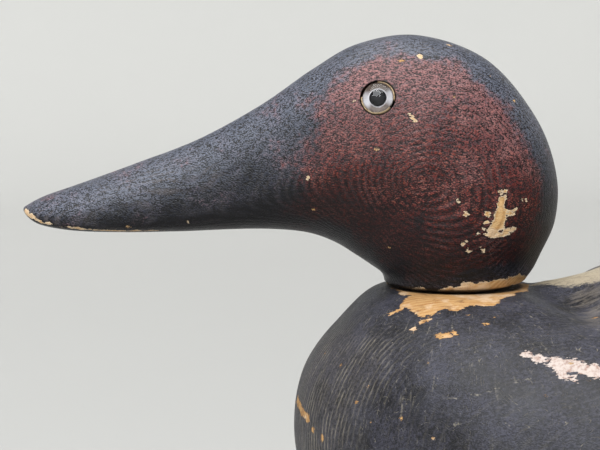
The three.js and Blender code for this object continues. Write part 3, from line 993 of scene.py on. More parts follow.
@dataclass(frozen=True)
class HeadPaint:
    """Chestnut cheeks fading to sooty blue-black at the bill, crown and nape, over pale wood."""

    chestnut: Colour = paint(50, 13, 10)
    rust: Colour = paint(98, 27, 20)
    soot: Colour = paint(11, 12, 17)
    slate: Colour = paint(38, 41, 54)
    line: Colour = paint(112, 104, 104)
    # Near black for pores and grooves, also used as painted shade on faces that turn down.
    gap_and_shade: Colour = paint(9, 7, 9)
    # Pale pinkish flecks for raised fibres: paint bloom, and painted glints.
    bloom_and_glint: Colour = paint(112, 84, 82)
    spark: Colour = paint(172, 96, 60)
    # Dust tones for faces that turn up, which also serve as painted sheen from the lights above.
    dust_and_sheen: Colour = paint(158, 120, 122)
    cold_dust_and_sheen: Colour = paint(118, 124, 140)
    pale: Colour = paint(196, 160, 112)
    amber: Colour = paint(164, 116, 62)
    cream: Colour = paint(206, 190, 166)
    lip: Colour = paint(24, 18, 18)
    # Near black for painted shade at the joint with the hull.
    grime_and_shade: Colour = paint(16, 11, 8)

    def material(self) -> bpy.types.Material:
        """Builds the finish.

        Returns:
            The material, which reads the head's own fields.
        """
        made, net, shader = new_finish("head_paint")
        place, phase = net.place(), net.field("rings")
        rings = net.effect(EFFECTS.rings, phase=phase, place=place, sharpness=3.0)
        fibres = net.effect(EFFECTS.fibres, place=place)
        weave, streak = fibres.outputs["Weave"], fibres.outputs["Streak"]
        fine, blotch = net.noise(place, 700, 3, 0.65), net.noise(place, 95, 4, 0.6)
        mottled = net.plus(net.field("chestnut"), net.scaled(fine, 1.1, -0.55))
        mottled = net.plus(mottled, net.scaled(blotch, 2.4, -1.3))
        red = net.step(mottled, 0.1, 0.85)
        warm = net.colour_mix(net.step(net.plus(fine, net.times(weave, 0.5)), 0.6, 1.05),
                              self.chestnut, self.rust)
        cold = net.colour_mix(net.step(net.plus(blotch, net.times(weave, 0.5)), 0.5, 1.1),
                              self.soot, self.slate)
        coat = net.colour_mix(red, cold, warm)
        coat = net.laid(coat, self.gap_and_shade, net.step(weave, 0.58, 0.16), 0.76)
        groove = net.times(net.step(rings.outputs["Height"], 0.34, 0.06), net.step(blotch, 0.3, 0.56))
        coat = net.laid(coat, self.gap_and_shade, groove, 0.56)
        # Raised fibres in some blotches get pale pinkish flecks: paint bloom, and painted glints of light
        # on the fibres.
        bloom_and_glint = net.times(net.step(weave, 0.62, 0.95), net.step(blotch, 0.44, 0.66))
        coat = net.laid(coat, self.bloom_and_glint, bloom_and_glint, 0.5)
        spark = net.times(net.step(weave, 0.86, 1.0), net.step(mottled, 0.5, 1.1))
        coat = net.laid(coat, self.spark, spark, 0.42)
        drawn = net.times(rings.outputs["Line"], net.scaled(fine, 1.3, -0.2, clamp=True))
        coat = net.colour_mix(net.times(drawn, net.field("grain")), coat, self.line)
        upward = net.scaled(blotch, 0.5, net.math("SUBTRACT", net.field("upward"), 0.25), clamp=True)
        # Faces that turn down are darkened towards near black: painted shade.
        deep = net.times(net.step(upward, 0.46, 0.0), 0.68)
        coat = net.colour_mix(deep, coat, self.gap_and_shade)
        # Faces that turn up are laid over with pale dust, bluish on the black and pinkish on the red: dust,
        # and painted sheen from above.
        dust_and_sheen_tone = net.colour_mix(red, self.cold_dust_and_sheen, self.dust_and_sheen)
        dust_and_sheen_mask = net.times(net.step(upward, 0.3, 0.85), net.step(weave, 0.12, 0.78))
        coat = net.laid(coat, dust_and_sheen_tone, dust_and_sheen_mask, 0.44)
        lost = net.effect(EFFECTS.chipped, field=net.field("bare"), place=place, ragged=2.0)
        flecks = net.effect(EFFECTS.flecks, place=place, pitch=420.0, amount=net.field("flecks"))
        wood = net.effect(EFFECTS.timber, place=place, phase=phase, pale=self.pale, amber=self.amber)
        gone = net.math("MAXIMUM", lost.outputs["Lost"], flecks.outputs["Mask"])
        coat = net.laid(coat, self.lip, lost.outputs["Lip"], 0.5)
        under = net.colour_mix(net.times(lost.outputs["Rim"], 0.75), wood.outputs["Colour"],
                               self.cream)
        final = net.colour_mix(gone, coat, under)
        # The lowest rim of the head, at the joint, is darkened: painted shade in the gap.
        net.put(shader.inputs["Base Color"], net.colour_mix(net.field("dirt_and_shade"), final, self.grime_and_shade))
        shader.inputs["Specular IOR Level"].default_value = 0.25
        worn = net.between(net.step(blotch, 0.3, 0.7), 0.34, 0.48)
        net.put(shader.inputs["Roughness"], net.between(gone, worn, 0.8))
        height = net.scaled(weave, 0.1, net.times(streak, 0.09))
        height = net.scaled(rings.outputs["Height"], 0.07, height)
        height = net.scaled(fine, 0.08, height)
        bump(net, net.scaled(gone, -0.16, height), shader)
        return made


@dataclass(frozen=True)
class HullPaint:
    """Black breast and rump, pale grey-cream back and sides, over white primer and pale wood."""

    soot: Colour = paint(14, 14, 19)
    slate: Colour = paint(54, 54, 65)
    cream: Colour = paint(158, 146, 124)
    stain: Colour = paint(112, 104, 96)
    line: Colour = paint(150, 142, 126)
    primer: Colour = paint(180, 168, 161)
    pale: Colour = paint(176, 140, 94)
    amber: Colour = paint(150, 102, 54)
    pore: Colour = paint(8, 8, 11)
    handled: Colour = paint(92, 82, 70)
    haze: Colour = paint(120, 122, 136)
    lip: Colour = paint(70, 48, 36)
    chalk: Colour = paint(146, 122, 112)
    # Near black for painted shade under the head.
    grime_and_shade: Colour = paint(16, 11, 8)

    def material(self) -> bpy.types.Material:
        """Builds the finish.

        Returns:
            The material, which reads the hull's own fields.
        """
        made, net, shader = new_finish("hull_paint")
        place, phase = net.place(), net.field("rings")
        rings = net.effect(EFFECTS.rings, phase=phase, place=place, sharpness=5.0)
        fibres = net.effect(EFFECTS.fibres, place=place)
        weave, streak = fibres.outputs["Weave"], fibres.outputs["Streak"]
        scuffs = net.effect(EFFECTS.scuffs, place=place)
        fine, blotch = net.noise(place, 800, 3, 0.65), net.noise(place, 80, 4, 0.62)
        grit = net.fibre_noise(place, 0.7, 1150, 4, 0.8)
        dark = net.colour_mix(
            net.step(net.scaled(blotch, 0.8, grit), 0.72, 1.12),
            self.soot, self.slate)
        dark = net.laid(dark, self.pore, net.step(weave, 0.5, 0.14), 0.75)
        light = net.colour_mix(net.step(net.plus(blotch, net.field("stain")), 0.62, 1.3),
                               self.cream, self.stain)
        light = net.laid(light, self.handled, net.step(streak, 0.52, 0.38), 0.45)
        streaky = net.scaled(streak, 1.1, -0.55)
        edge = net.plus(net.plus(net.field("pale"), streaky), net.scaled(blotch, 0.5, -0.25))
        coat = net.colour_mix(net.step(edge, 0.36, 0.64), dark, light)
        polar = net.node("ShaderNodeCombineXYZ")
        net.put(polar.inputs[0], net.field("around"))
        net.put(polar.inputs[1], net.field("away"))
        strokes = net.step(net.noise(polar.outputs[0], 1.5, 2, 0.7), 0.58, 0.72)
        strokes = net.times(strokes, net.step(fine, 0.42, 0.62))
        strokes = net.times(strokes, net.field("brushed"))
        coat = net.laid(coat, self.line, strokes, 0.42)
        along = net.noise(net.stretch(place, (0.12, 1.0, 0.6)), 620, 3, 0.7)
        wiped = net.step(net.scaled(along, 2.2, net.field("smear")), 1.75, 2.4)
        coat = net.laid(coat, self.stain, wiped, 0.5)
        scored = net.effect(EFFECTS.chipped, field=net.field("scored"), place=place, ragged=1.3)
        scored = net.times(scored.outputs["Lost"], net.step(fine, 0.4, 0.62))
        coat = net.laid(coat, self.line, scored, 0.4)
        broken = net.step(net.noise(net.stretch(place, (1.0, 1.0, 0.3)), 260, 3, 0.7), 0.36, 0.62)
        drawn = net.times(rings.outputs["Line"], net.times(net.field("grain"), broken))
        coat = net.laid(coat, self.line, drawn, 0.62)
        chalky = net.times(net.field("grain"), net.step(grit, 0.3, 0.7))
        coat = net.laid(coat, self.stain, chalky, 0.2)
        coat = net.laid(coat, self.line, scuffs.outputs["Scratch"], 0.5)
        coat = net.laid(coat, self.haze, scuffs.outputs["Haze"], 0.08)
        lost = net.effect(EFFECTS.chipped, field=net.field("bare"), place=place, ragged=2.4)
        white = net.effect(EFFECTS.chipped, field=net.field("primer"), place=place, ragged=3.4)
        flecks = net.effect(EFFECTS.flecks, place=place, pitch=380.0, amount=net.field("flecks"))
        wood = net.effect(EFFECTS.timber, place=place, phase=phase, pale=self.pale, amber=self.amber)
        coat = net.laid(coat, self.lip, lost.outputs["Lip"], 0.35)
        chalk = net.colour_mix(net.step(fine, 0.42, 0.7), self.primer, self.chalk)
        coat = net.colour_mix(white.outputs["Lost"], coat, chalk)
        gone = net.math("MAXIMUM", lost.outputs["Lost"], flecks.outputs["Mask"])
        final = net.colour_mix(gone, coat, wood.outputs["Colour"])
        # Where the head sits, the seat is darkened: painted shade under the head.
        net.put(shader.inputs["Base Color"], net.colour_mix(net.field("dirt_and_shade"), final, self.grime_and_shade))
        shader.inputs["Specular IOR Level"].default_value = 0.26
        worn = net.between(net.step(blotch, 0.3, 0.7), 0.42, 0.6)
        bared = net.math("MAXIMUM", gone, white.outputs["Lost"])
        net.put(shader.inputs["Roughness"], net.between(bared, worn, 0.82))
        height = net.scaled(weave, 0.05, net.times(streak, 0.06))
        raised = net.times(net.field("grain"), 0.16)
        height = net.scaled(rings.outputs["Height"], raised, height)
        height = net.scaled(grit, 0.12, height)
        height = net.scaled(scuffs.outputs["Scratch"], -0.05, height)
        height = net.scaled(white.outputs["Lost"], -0.1, height)
        bump(net, net.scaled(gone, -0.2, height), shader)
        return made


@dataclass(frozen=True)
class RubbedPaint:
    """Thin paint rubbed through to the wood along edges and in flecks."""

    name: str
    coat: Colour
    shade: Colour
    rubbed: float = 0.3
    dust_and_sheen: Colour = paint(150, 146, 138)
    pale: Colour = paint(190, 160, 122)
    amber: Colour = paint(142, 106, 70)

    def material(self) -> bpy.types.Material:
        """Builds the finish.

        Returns:
            The material.
        """
        made, net, shader = new_finish(self.name)
        place = net.place()
        fibres = net.effect(EFFECTS.fibres, place=place)
        scuffs = net.effect(EFFECTS.scuffs, place=place)
        blotch = net.noise(place, 70, 4, 0.6)
        coat = net.colour_mix(net.step(blotch, 0.35, 0.7), self.coat, self.shade)
        coat = net.laid(coat, self.dust_and_sheen, scuffs.outputs["Haze"], 0.2)
        wear = net.plus(net.field("wear"), net.scaled(blotch, 1.2, -0.95))
        lost = net.effect(EFFECTS.chipped, field=wear, place=place, ragged=1.2)
        flecks = net.effect(EFFECTS.flecks, place=place, pitch=300.0, amount=self.rubbed)
        wood = net.effect(EFFECTS.timber, place=place, phase=0.3, pale=self.pale, amber=self.amber)
        gone = net.math("MAXIMUM", lost.outputs["Lost"], flecks.outputs["Mask"])
        net.put(shader.inputs["Base Color"], net.colour_mix(gone, coat, wood.outputs["Colour"]))
        net.put(shader.inputs["Roughness"], net.between(gone, 0.58, 0.85))
        height = net.times(fibres.outputs["Streak"], 0.14)
        bump(net, net.scaled(gone, -0.12, height), shader)
        return made


@dataclass(frozen=True)
class PlainTimber:
    """Bare softwood of dowels and the inside of the hollow."""

    pale: Colour = paint(222, 188, 138)
    amber: Colour = paint(184, 134, 80)

    def material(self) -> bpy.types.Material:
        """Builds the finish.

        Returns:
            The material.
        """
        made, net, shader = new_finish("plain_timber")
        place = net.place()
        wood = net.effect(EFFECTS.timber, place=place, phase=0.2, pale=self.pale, amber=self.amber)
        net.put(shader.inputs["Base Color"], wood.outputs["Colour"])
        shader.inputs["Roughness"].default_value = 0.78
        bump(net, net.times(wood.outputs["Height"], 0.08), shader)
        return made


@dataclass(frozen=True)
class OldMetal:
    """Dull metal with tarnish in blotches and small pits."""

    name: str
    bright: Colour
    tarnish: Colour
    roughness: float
    cover: float

    def material(self) -> bpy.types.Material:
        """Builds the finish.

        Returns:
            The material.
        """
        made, net, shader = new_finish(self.name)
        place = net.place()
        blotch, grit = net.noise(place, 420, 4, 0.7), net.noise(place, 2600, 2, 0.6)
        tarnish = net.step(net.plus(blotch, net.scaled(grit, 0.5, -0.25)),
                           0.75 - self.cover, 1.0 - self.cover)
        net.put(shader.inputs["Base Color"], net.colour_mix(tarnish, self.bright, self.tarnish))
        net.put(shader.inputs["Metallic"], net.between(tarnish, 1.0, 0.35))
        net.put(shader.inputs["Roughness"], net.between(tarnish, self.roughness, 0.75))
        bump(net, net.times(net.plus(blotch, grit), 0.06), shader)
        return made


@dataclass(frozen=True)
class Putty:
    """Old white lead and glazing putty: chalky, cracked and yellowed."""

    chalk: Colour = paint(190, 172, 140)
    yellow: Colour = paint(136, 104, 66)
    split: Colour = paint(66, 46, 32)
    # Near black for painted shade down in the socket.
    grime_and_shade: Colour = paint(20, 14, 11)

    def material(self) -> bpy.types.Material:
        """Builds the finish.

        Returns:
            The material.
        """
        made, net, shader = new_finish("old_putty")
        place = net.place()
        blotch, grit = net.noise(place, 900, 4, 0.7), net.noise(place, 3600, 2, 0.6)
        share = net.step(net.plus(blotch, net.times(grit, 0.4)), 0.45, 0.95)
        tone = net.colour_mix(share, self.chalk, self.yellow)
        crack = net.step(blotch, 0.62, 0.74)
        tone = net.laid(tone, self.split, crack, 0.7)
        # The putty darkens with depth below the head's surface: painted shade in the socket.
        net.put(shader.inputs["Base Color"], net.colour_mix(net.field("sunk"), tone, self.grime_and_shade))
        shader.inputs["Roughness"].default_value = 0.7
        bump(net, net.scaled(crack, -0.12, net.times(grit, 0.06)), shader)
        return made


@dataclass(frozen=True)
class EyeGlass:
    """Clear blown glass."""

    index: float = 1.28
    clear: Colour = (1.0, 1.0, 1.0, 1.0)
    tinged: Colour = (0.93, 0.95, 0.97, 1.0)

    def material(self) -> bpy.types.Material:
        """Builds the finish.

        Returns:
            The material.
        """
        made, net, shader = new_finish("eye_glass")
        seed = net.noise(net.place(), 500, 2, 0.5)
        net.put(shader.inputs["Base Color"], net.colour_mix(seed, self.tinged, self.clear))
        shader.inputs["Transmission Weight"].default_value = 1.0
        shader.inputs["Roughness"].default_value = 0.02
        shader.inputs["IOR"].default_value = self.index
        return made


@dataclass(frozen=True)
class EyeBacking:
    """The silvery paint behind the glass, in rings round the pupil, and the pupil's black enamel."""

    # Silver backing paint, also used as painted reflection at the sides of the pupil.
    silver_and_reflection: Colour = paint(190, 188, 193)
    umber: Colour = paint(84, 68, 58)
    black: Colour = paint(8, 8, 10)
    pupil: tuple[float, float] = (2.42, 2.32)
    bright: tuple[float, float] = (2.6, 2.85)
    brown: tuple[float, float] = (3.8, 4.3)

    def material(self) -> bpy.types.Material:
        """Builds the finish.

        Returns:
            The material, which reads how far a point lies from the eye's axis, in millimetres.
        """
        made, net, shader = new_finish("eye_backing")
        out = net.field("from_axis")
        wobble = net.scaled(net.noise(net.place(), 420, 3, 0.6), 0.5, -0.25)
        radius = net.plus(out, wobble)
        # The band outside the bright ring is silver to its left and right and umber above and below: the
        # silver there is painted reflection.
        cast = net.noise(net.place(), 300, 3, 0.6)
        sides = net.step(net.scaled(cast, 0.9, net.field("sideways")), 0.78, 1.5)
        ring = net.colour_mix(sides, self.umber, self.silver_and_reflection)
        tone = net.colour_mix(net.step(radius, *self.bright), self.silver_and_reflection, ring)
        tone = net.colour_mix(net.step(radius, *self.brown), tone, self.umber)
        tone = net.colour_mix(net.step(out, *self.pupil), tone, self.black)
        net.put(shader.inputs["Base Color"], tone)
        net.put(shader.inputs["Roughness"], net.between(net.step(out, *self.pupil), 0.45, 0.3))
        return made


@dataclass(frozen=True)
class BlackGlass:
    """The pupil's glossy black glass."""

    deep: Colour = (0.004, 0.004, 0.005, 1.0)
    worn: Colour = (0.010, 0.010, 0.012, 1.0)

    def material(self) -> bpy.types.Material:
        """Builds the finish.

        Returns:
            The material.
        """
        made, net, shader = new_finish("black_glass")
        cast = net.noise(net.place(), 600, 2)
        net.put(shader.inputs["Base Color"], net.colour_mix(cast, self.deep, self.worn))
        shader.inputs["Roughness"].default_value = 0.34
        shader.inputs["Specular IOR Level"].default_value = 0.1
        return made


# ---- wear set out one by one


@dataclass(frozen=True)
class Chip:
    """A run of lost coat between two places, each in millimetres ahead, aside and above the neck joint."""

    start: Triple
    end: Triple
    reach: float

    def depth_inside(self, places: np.ndarray) -> np.ndarray:
        """How far each place lies inside the run, in millimetres, negative outside.

        Args:
            places: Rows of ahead, aside and above.

        Returns:
            The depths.
        """
        start, along = np.array(self.start), np.array(self.end) - np.array(self.start)
        length = max(float(along @ along), 1e-9)
        share = np.clip((places - start) @ along / length, 0, 1)
        return self.reach - np.linalg.norm(places - start - share[:, None] * along, axis=1)


def spot(ahead: float, aside: float, above: float, reach: float) -> Chip:
    """A chip about one place."""
    return Chip((ahead, aside, above), (ahead, aside, above), reach)


def run(reach: float, *places: Triple) -> list[Chip]:
    """Chips that join up from place to place."""
    return [Chip(start, end, reach) for start, end in zip(places, places[1:])]


HEAD_CHIPS = (
    # left cheek: one tall patch, a bar under it, bits beside it and specks round it
    *run(1.5, (-11.1, -24.0, 29.6), (-10.9, -24.0, 26.5)),
    *run(2.3, (-10.9, -24.0, 25.4), (-10.7, -24.0, 22.6)),
    *run(2.0, (-9.8, -24.0, 21.9), (-8.6, -24.0, 20.2)),
    *run(1.05, (-7.8, -24.0, 18.9), (-10.5, -23.6, 18.8), (-15.2, -22.3, 20.8)),
    *run(0.65, (-13.0, -23.5, 26.0), (-16.0, -22.5, 26.7)),
    *run(0.65, (-12.4, -23.6, 25.2), (-15.8, -22.5, 25.4)),
    spot(-10.8, -23.9, 31.9, 0.8), spot(-12.4, -23.5, 32.3, 0.8), spot(-12.3, -23.7, 30.6, 0.8),
    spot(-6.9, -24.8, 25.3, 0.95), spot(-6.5, -24.7, 22.7, 0.85), spot(-4.0, -24.6, 19.5, 0.8),
    spot(-5.8, -24.6, 20.9, 0.75), spot(-6.4, -24.3, 19.0, 0.8), spot(-1.0, -24.3, 17.1, 0.75),
    spot(-1.6, -23.8, 14.1, 0.9), spot(0.3, -24.2, 16.2, 0.7), spot(-4.9, -23.8, 15.2, 0.75),
    spot(-6.0, -23.4, 14.1, 0.7), spot(2.3, -25.1, 29.5, 0.75), spot(-0.4, -25.1, 25.4, 0.75),
    spot(-17.8, -21.7, 29.4, 0.7), spot(-19.0, -21.1, 29.4, 0.7),
    # the rim over the joint
    *run(1.9, (4.2, -19.8, 0.6), (-1.0, -20.4, 1.5)),
    *run(2.4, (-1.0, -20.4, 1.7), (-10.4, -18.4, 2.2), (-18.0, -13.8, 3.6)),
    *run(2.5, (-18.0, -13.8, 3.4), (-21.0, -7.0, 2.2), (-22.0, 4.0, 0.8)),
    *run(0.85, (15.2, -14.6, 0.8), (11.4, -17.0, 1.2)), *run(0.9, (6.4, -19.0, 0.8), (4.2, -19.6, 1.4)),
    *run(1.5, (17.0, 12.0, 0.6), (8.0, 18.0, 1.2), (-3.0, 20.0, 1.0)),
    # bill, crown and round the eye
    *run(0.9, (137.0, 0.0, 25.0), (136.3, -4.4, 24.2), (134.0, -7.2, 23.0)),
    *run(0.75, (134.0, -7.2, 23.0), (130.4, -9.4, 21.3)),
    *run(0.6, (130.4, -9.4, 21.3), (119.3, -12.0, 20.0)),
    *run(0.7, (119.3, -12.0, 19.8), (105.9, -10.9, 18.7), (91.5, -9.2, 18.6)),
    *run(1.1, (137.0, 0.0, 25.0), (136.3, 4.4, 24.2), (131.0, 9.2, 21.6)),
    *run(0.8, (124.0, 11.6, 20.4), (110.0, 11.8, 18.9)),
    spot(84.5, -11.3, 21.3, 0.8), spot(12.9, -13.6, 72.9, 1.15), spot(47.2, -17.4, 35.8, 0.75),
    *run(0.7, (33.4, -17.4, 59.3), (31.6, -18.4, 59.7)),
    *run(0.7, (16.7, -21.3, 55.4), (14.7, -22.0, 53.3)),
    # right cheek, which has knocks of its own
    *run(1.3, (6.0, 24.8, 34.0), (2.0, 25.1, 33.2)), *run(1.0, (-6.0, 24.4, 18.0), (-11.0, 23.4, 21.0)),
    spot(12.0, 23.6, 22.0, 0.9), spot(-13.0, 23.4, 40.0, 1.0), spot(28.0, 19.4, 44.0, 0.8),
    spot(-3.0, 24.8, 26.0, 0.8), spot(20.0, 14.0, 71.0, 1.0),
)

HULL_CHIPS = (
    # the bared shelf round the neck, widest at the left front
    spot(0.0, 0.0, 0.0, 18.5),
    *run(3.4, (15.5, -14.0, -0.3), (0.0, -19.0, 0.0), (-12.0, -14.0, 0.0)),
    *run(6.2, (12.0, -23.0, -1.6), (8.0, -24.6, -1.4)),
    *run(3.7, (13.2, -25.5, -2.6), (11.6, -29.0, -3.5)),
    *run(4.9, (8.0, -25.5, -1.8), (2.5, -26.5, -1.3)),
    *run(2.1, (2.8, -29.0, -2.3), (2.7, -30.8, -2.7)),
    *run(4.9, (0.0, -24.0, -0.8), (-6.0, -25.2, -0.7)),
    *run(3.9, (-8.5, -21.6, -0.4), (-13.0, -17.6, 0.0)),
    *run(2.4, (-15.0, -14.0, 0.0), (-20.0, -9.0, 0.0), (-22.0, 2.0, -0.4)),
    *run(1.0, (16.0, -14.5, -0.2), (19.6, -6.0, -0.2), (20.5, 6.0, -0.3)),
    *run(4.0, (17.0, 13.0, -0.2), (8.0, 20.0, -0.3), (-4.0, 21.0, -0.3)),
    *run(0.9, (17.3, -21.3, -1.7), (19.0, -25.3, -3.4), (22.0, -25.7, -4.8)),
    *run(0.9, (13.8, -35.0, -6.1), (11.4, -34.6, -5.2)), spot(16.0, -36.4, -7.6, 0.9),
    *run(1.15, (9.2, -42.2, -8.5), (6.4, -43.0, -8.2)), spot(4.9, -42.5, -7.5, 1.0),
    *run(0.85, (-4.0, -40.6, -5.4), (-5.2, -40.2, -5.2)), spot(-7.4, -37.3, -4.0, 0.8),
    # knocks on the breast
    *run(1.2, (50.4, -6.0, -36.0), (48.7, -16.5, -37.6), (47.1, -21.5, -38.8)),
    spot(45.6, -25.6, -40.9, 1.0), spot(43.0, -31.1, -41.9, 1.1), spot(41.0, -36.0, -36.0, 0.8),
    *run(1.6, (49.0, 12.0, -42.0), (46.0, 22.0, -45.0)), spot(38.0, 30.0, -22.0, 1.5),
    # back and sides, from handling and from the bottom of a boat
    *run(1.3, (-120.0, -4.0, 10.0), (-150.0, -9.0, 6.0)),
    *run(1.0, (-90.0, 22.0, 6.5), (-128.0, 30.0, 3.0)),
    *run(2.2, (-60.0, -88.0, -52.0), (-72.0, -90.0, -56.0)),
    *run(2.6, (-10.0, -82.0, -60.0), (-34.0, -88.0, -64.0)),
    *run(2.0, (20.0, 70.0, -52.0), (-6.0, 83.0, -60.0)),
    *run(1.8, (-100.0, 86.0, -40.0), (-132.0, 82.0, -44.0)),
    *run(1.6, (-160.0, -66.0, -30.0), (-190.0, -54.0, -32.0)),
    *run(2.0, (-205.0, 30.0, -16.0), (-222.0, 24.0, -20.0)),
)

WHITE_PATCHES = (
    *run(1.0, (-14.3, -53.6, -11.5), (-16.0, -54.5, -12.2)),
    *run(1.7, (-16.8, -55.0, -12.6), (-18.2, -56.1, -13.4)),
    *run(3.0, (-22.4, -57.4, -14.3), (-28.0, -59.0, -15.0)),
    *run(2.6, (-28.0, -59.6, -15.0), (-34.0, -62.4, -15.6)),
    *run(1.8, (-22.8, -61.0, -17.0), (-26.0, -62.0, -17.5)),
    *run(1.1, (-26.0, -62.4, -17.5), (-27.4, -64.6, -19.3)),
    *run(1.9, (-34.0, -62.4, -15.6), (-42.0, -65.0, -16.0)),
    *run(2.2, (16.0, 62.0, -30.0), (4.0, 70.0, -33.0)),
    *run(1.4, (24.0, 52.0, -26.0), (20.0, 56.0, -27.0)),
    *run(2.4, (-236.0, -20.0, -26.0), (-252.0, -14.0, -30.0)),
)

BREAST_SCRATCHES = (
    *run(0.75, (10.4, -57.8, -23.7), (-0.3, -61.5, -21.4), (-14.2, -60.7, -16.8)),
    *run(0.8, (8.0, -62.6, -29.6), (-7.6, -68.5, -27.8)),
    *run(0.6, (30.0, 44.0, -30.0), (12.0, 60.0, -24.0)),
    *run(0.6, (-25.5, -3.8, -1.6), (-31.7, -13.0, -4.3), (-36.6, -44.0, -6.4)),
    *run(0.6, (-33.5, -3.4, 0.6), (-40.7, -14.2, 0.6)),
    *run(0.6, (-60.0, -86.0, -40.0), (-110.0, -90.0, -46.0)),
    *run(0.6, (-84.0, 84.0, -30.0), (-140.0, 80.0, -38.0)),
)


def chipped_field(places: np.ndarray, chips: Iterable[Chip]) -> np.ndarray:
    """The deepest that each place lies inside any of the chips.

    Args:
        places: Rows of ahead, aside and above, in millimetres.
        chips: The chips.

    Returns:
        The depths, from -3 to 3.
    """
    field_of = np.full(len(places), -3.0)
    for chip in chips:
        field_of = np.maximum(field_of, chip.depth_inside(places))
    return np.clip(field_of, -3.0, 3.0)


def from_neck(points: np.ndarray) -> np.ndarray:
    """Places as they lie from the neck joint.

    Args:
        points: Rows of x, y, z in metres.

    Returns:
        Rows of ahead, aside and above, in millimetres.
    """
    return np.stack(
        [(DATUM.neck_x - points[:, 0]) / MM, points[:, 1] / MM, (points[:, 2] - DATUM.seat_z) / MM], axis=1
    )


def growth_phase(points: np.ndarray, pitch: float, seed: int) -> np.ndarray:
    """A count of growth rings, which lie upright along a sawn block.

    Args:
        points: Rows of x, y, z in metres.
        pitch: From ring to ring, in millimetres.
        seed: Which block of timber.

    Returns:
        The count at each point.
    """
    calm = points * np.array([0.4, 1.0, 1.0])
    wander = 2.4 * layered_noise(calm, 0.045, seed, 2) + 0.5 * layered_noise(points, 0.012, seed + 5, 2)
    bow = 0.0011 * (points[:, 2] / MM - 170) ** 2
    return (points[:, 1] / MM + wander + bow) / pitch


# ---- the head


class Eye:
    """One glass eye, set in putty in its socket, with its axis along its own wire."""

    wire_end: float = 1.2
    wire_hole: tuple[float, float] = (0.9, 21.0)
    recess: tuple[float, float] = (5.55, 5.5)
    clear: float = 5.4

    def __init__(self, side: Side) -> None:
        """Finds the eye's seat from the wire that is cast in its glass.

        Args:
            side: The cheek that it is on.
        """
        self.side = side
        self.label = side.name.lower()
        wire = frame["nodes"][f"eye_wire_{self.label}"]
        points, _ = points_and_normals(wire.data)
        middle = points.mean(axis=0)
        axis = np.linalg.svd(points - middle)[2][0]
        axis *= np.sign(axis[1]) * side.value
        end = middle + axis * np.max((points - middle) @ axis)
        self.axis = Vector(axis)
        self.seat = Vector(end) + self.axis * (self.wire_end * MM)
        turn = Vector((0, 0, 1)).rotation_difference(self.axis)
        self.place = Matrix.Translation(self.seat) @ turn.to_matrix().to_4x4()

    def placed(self, shape: Shape) -> Shape:
        """Moves a shape made about +Z, with zero at the head's surface, to the eye."""
        shape.transform(self.place)
        return shape

    def socket(self) -> Shape:
        """What the socket and the wire's hole take out of the head.

        Returns:
            The cutter.
        """
        hole, end = self.wire_hole
        wall, floor = self.recess
        profile = [(0, -end), (hole, -end), (hole, -floor), (wall, -floor), (wall, self.clear),
                   (0, self.clear)]
        return self.placed(spun_mm(profile, 72))


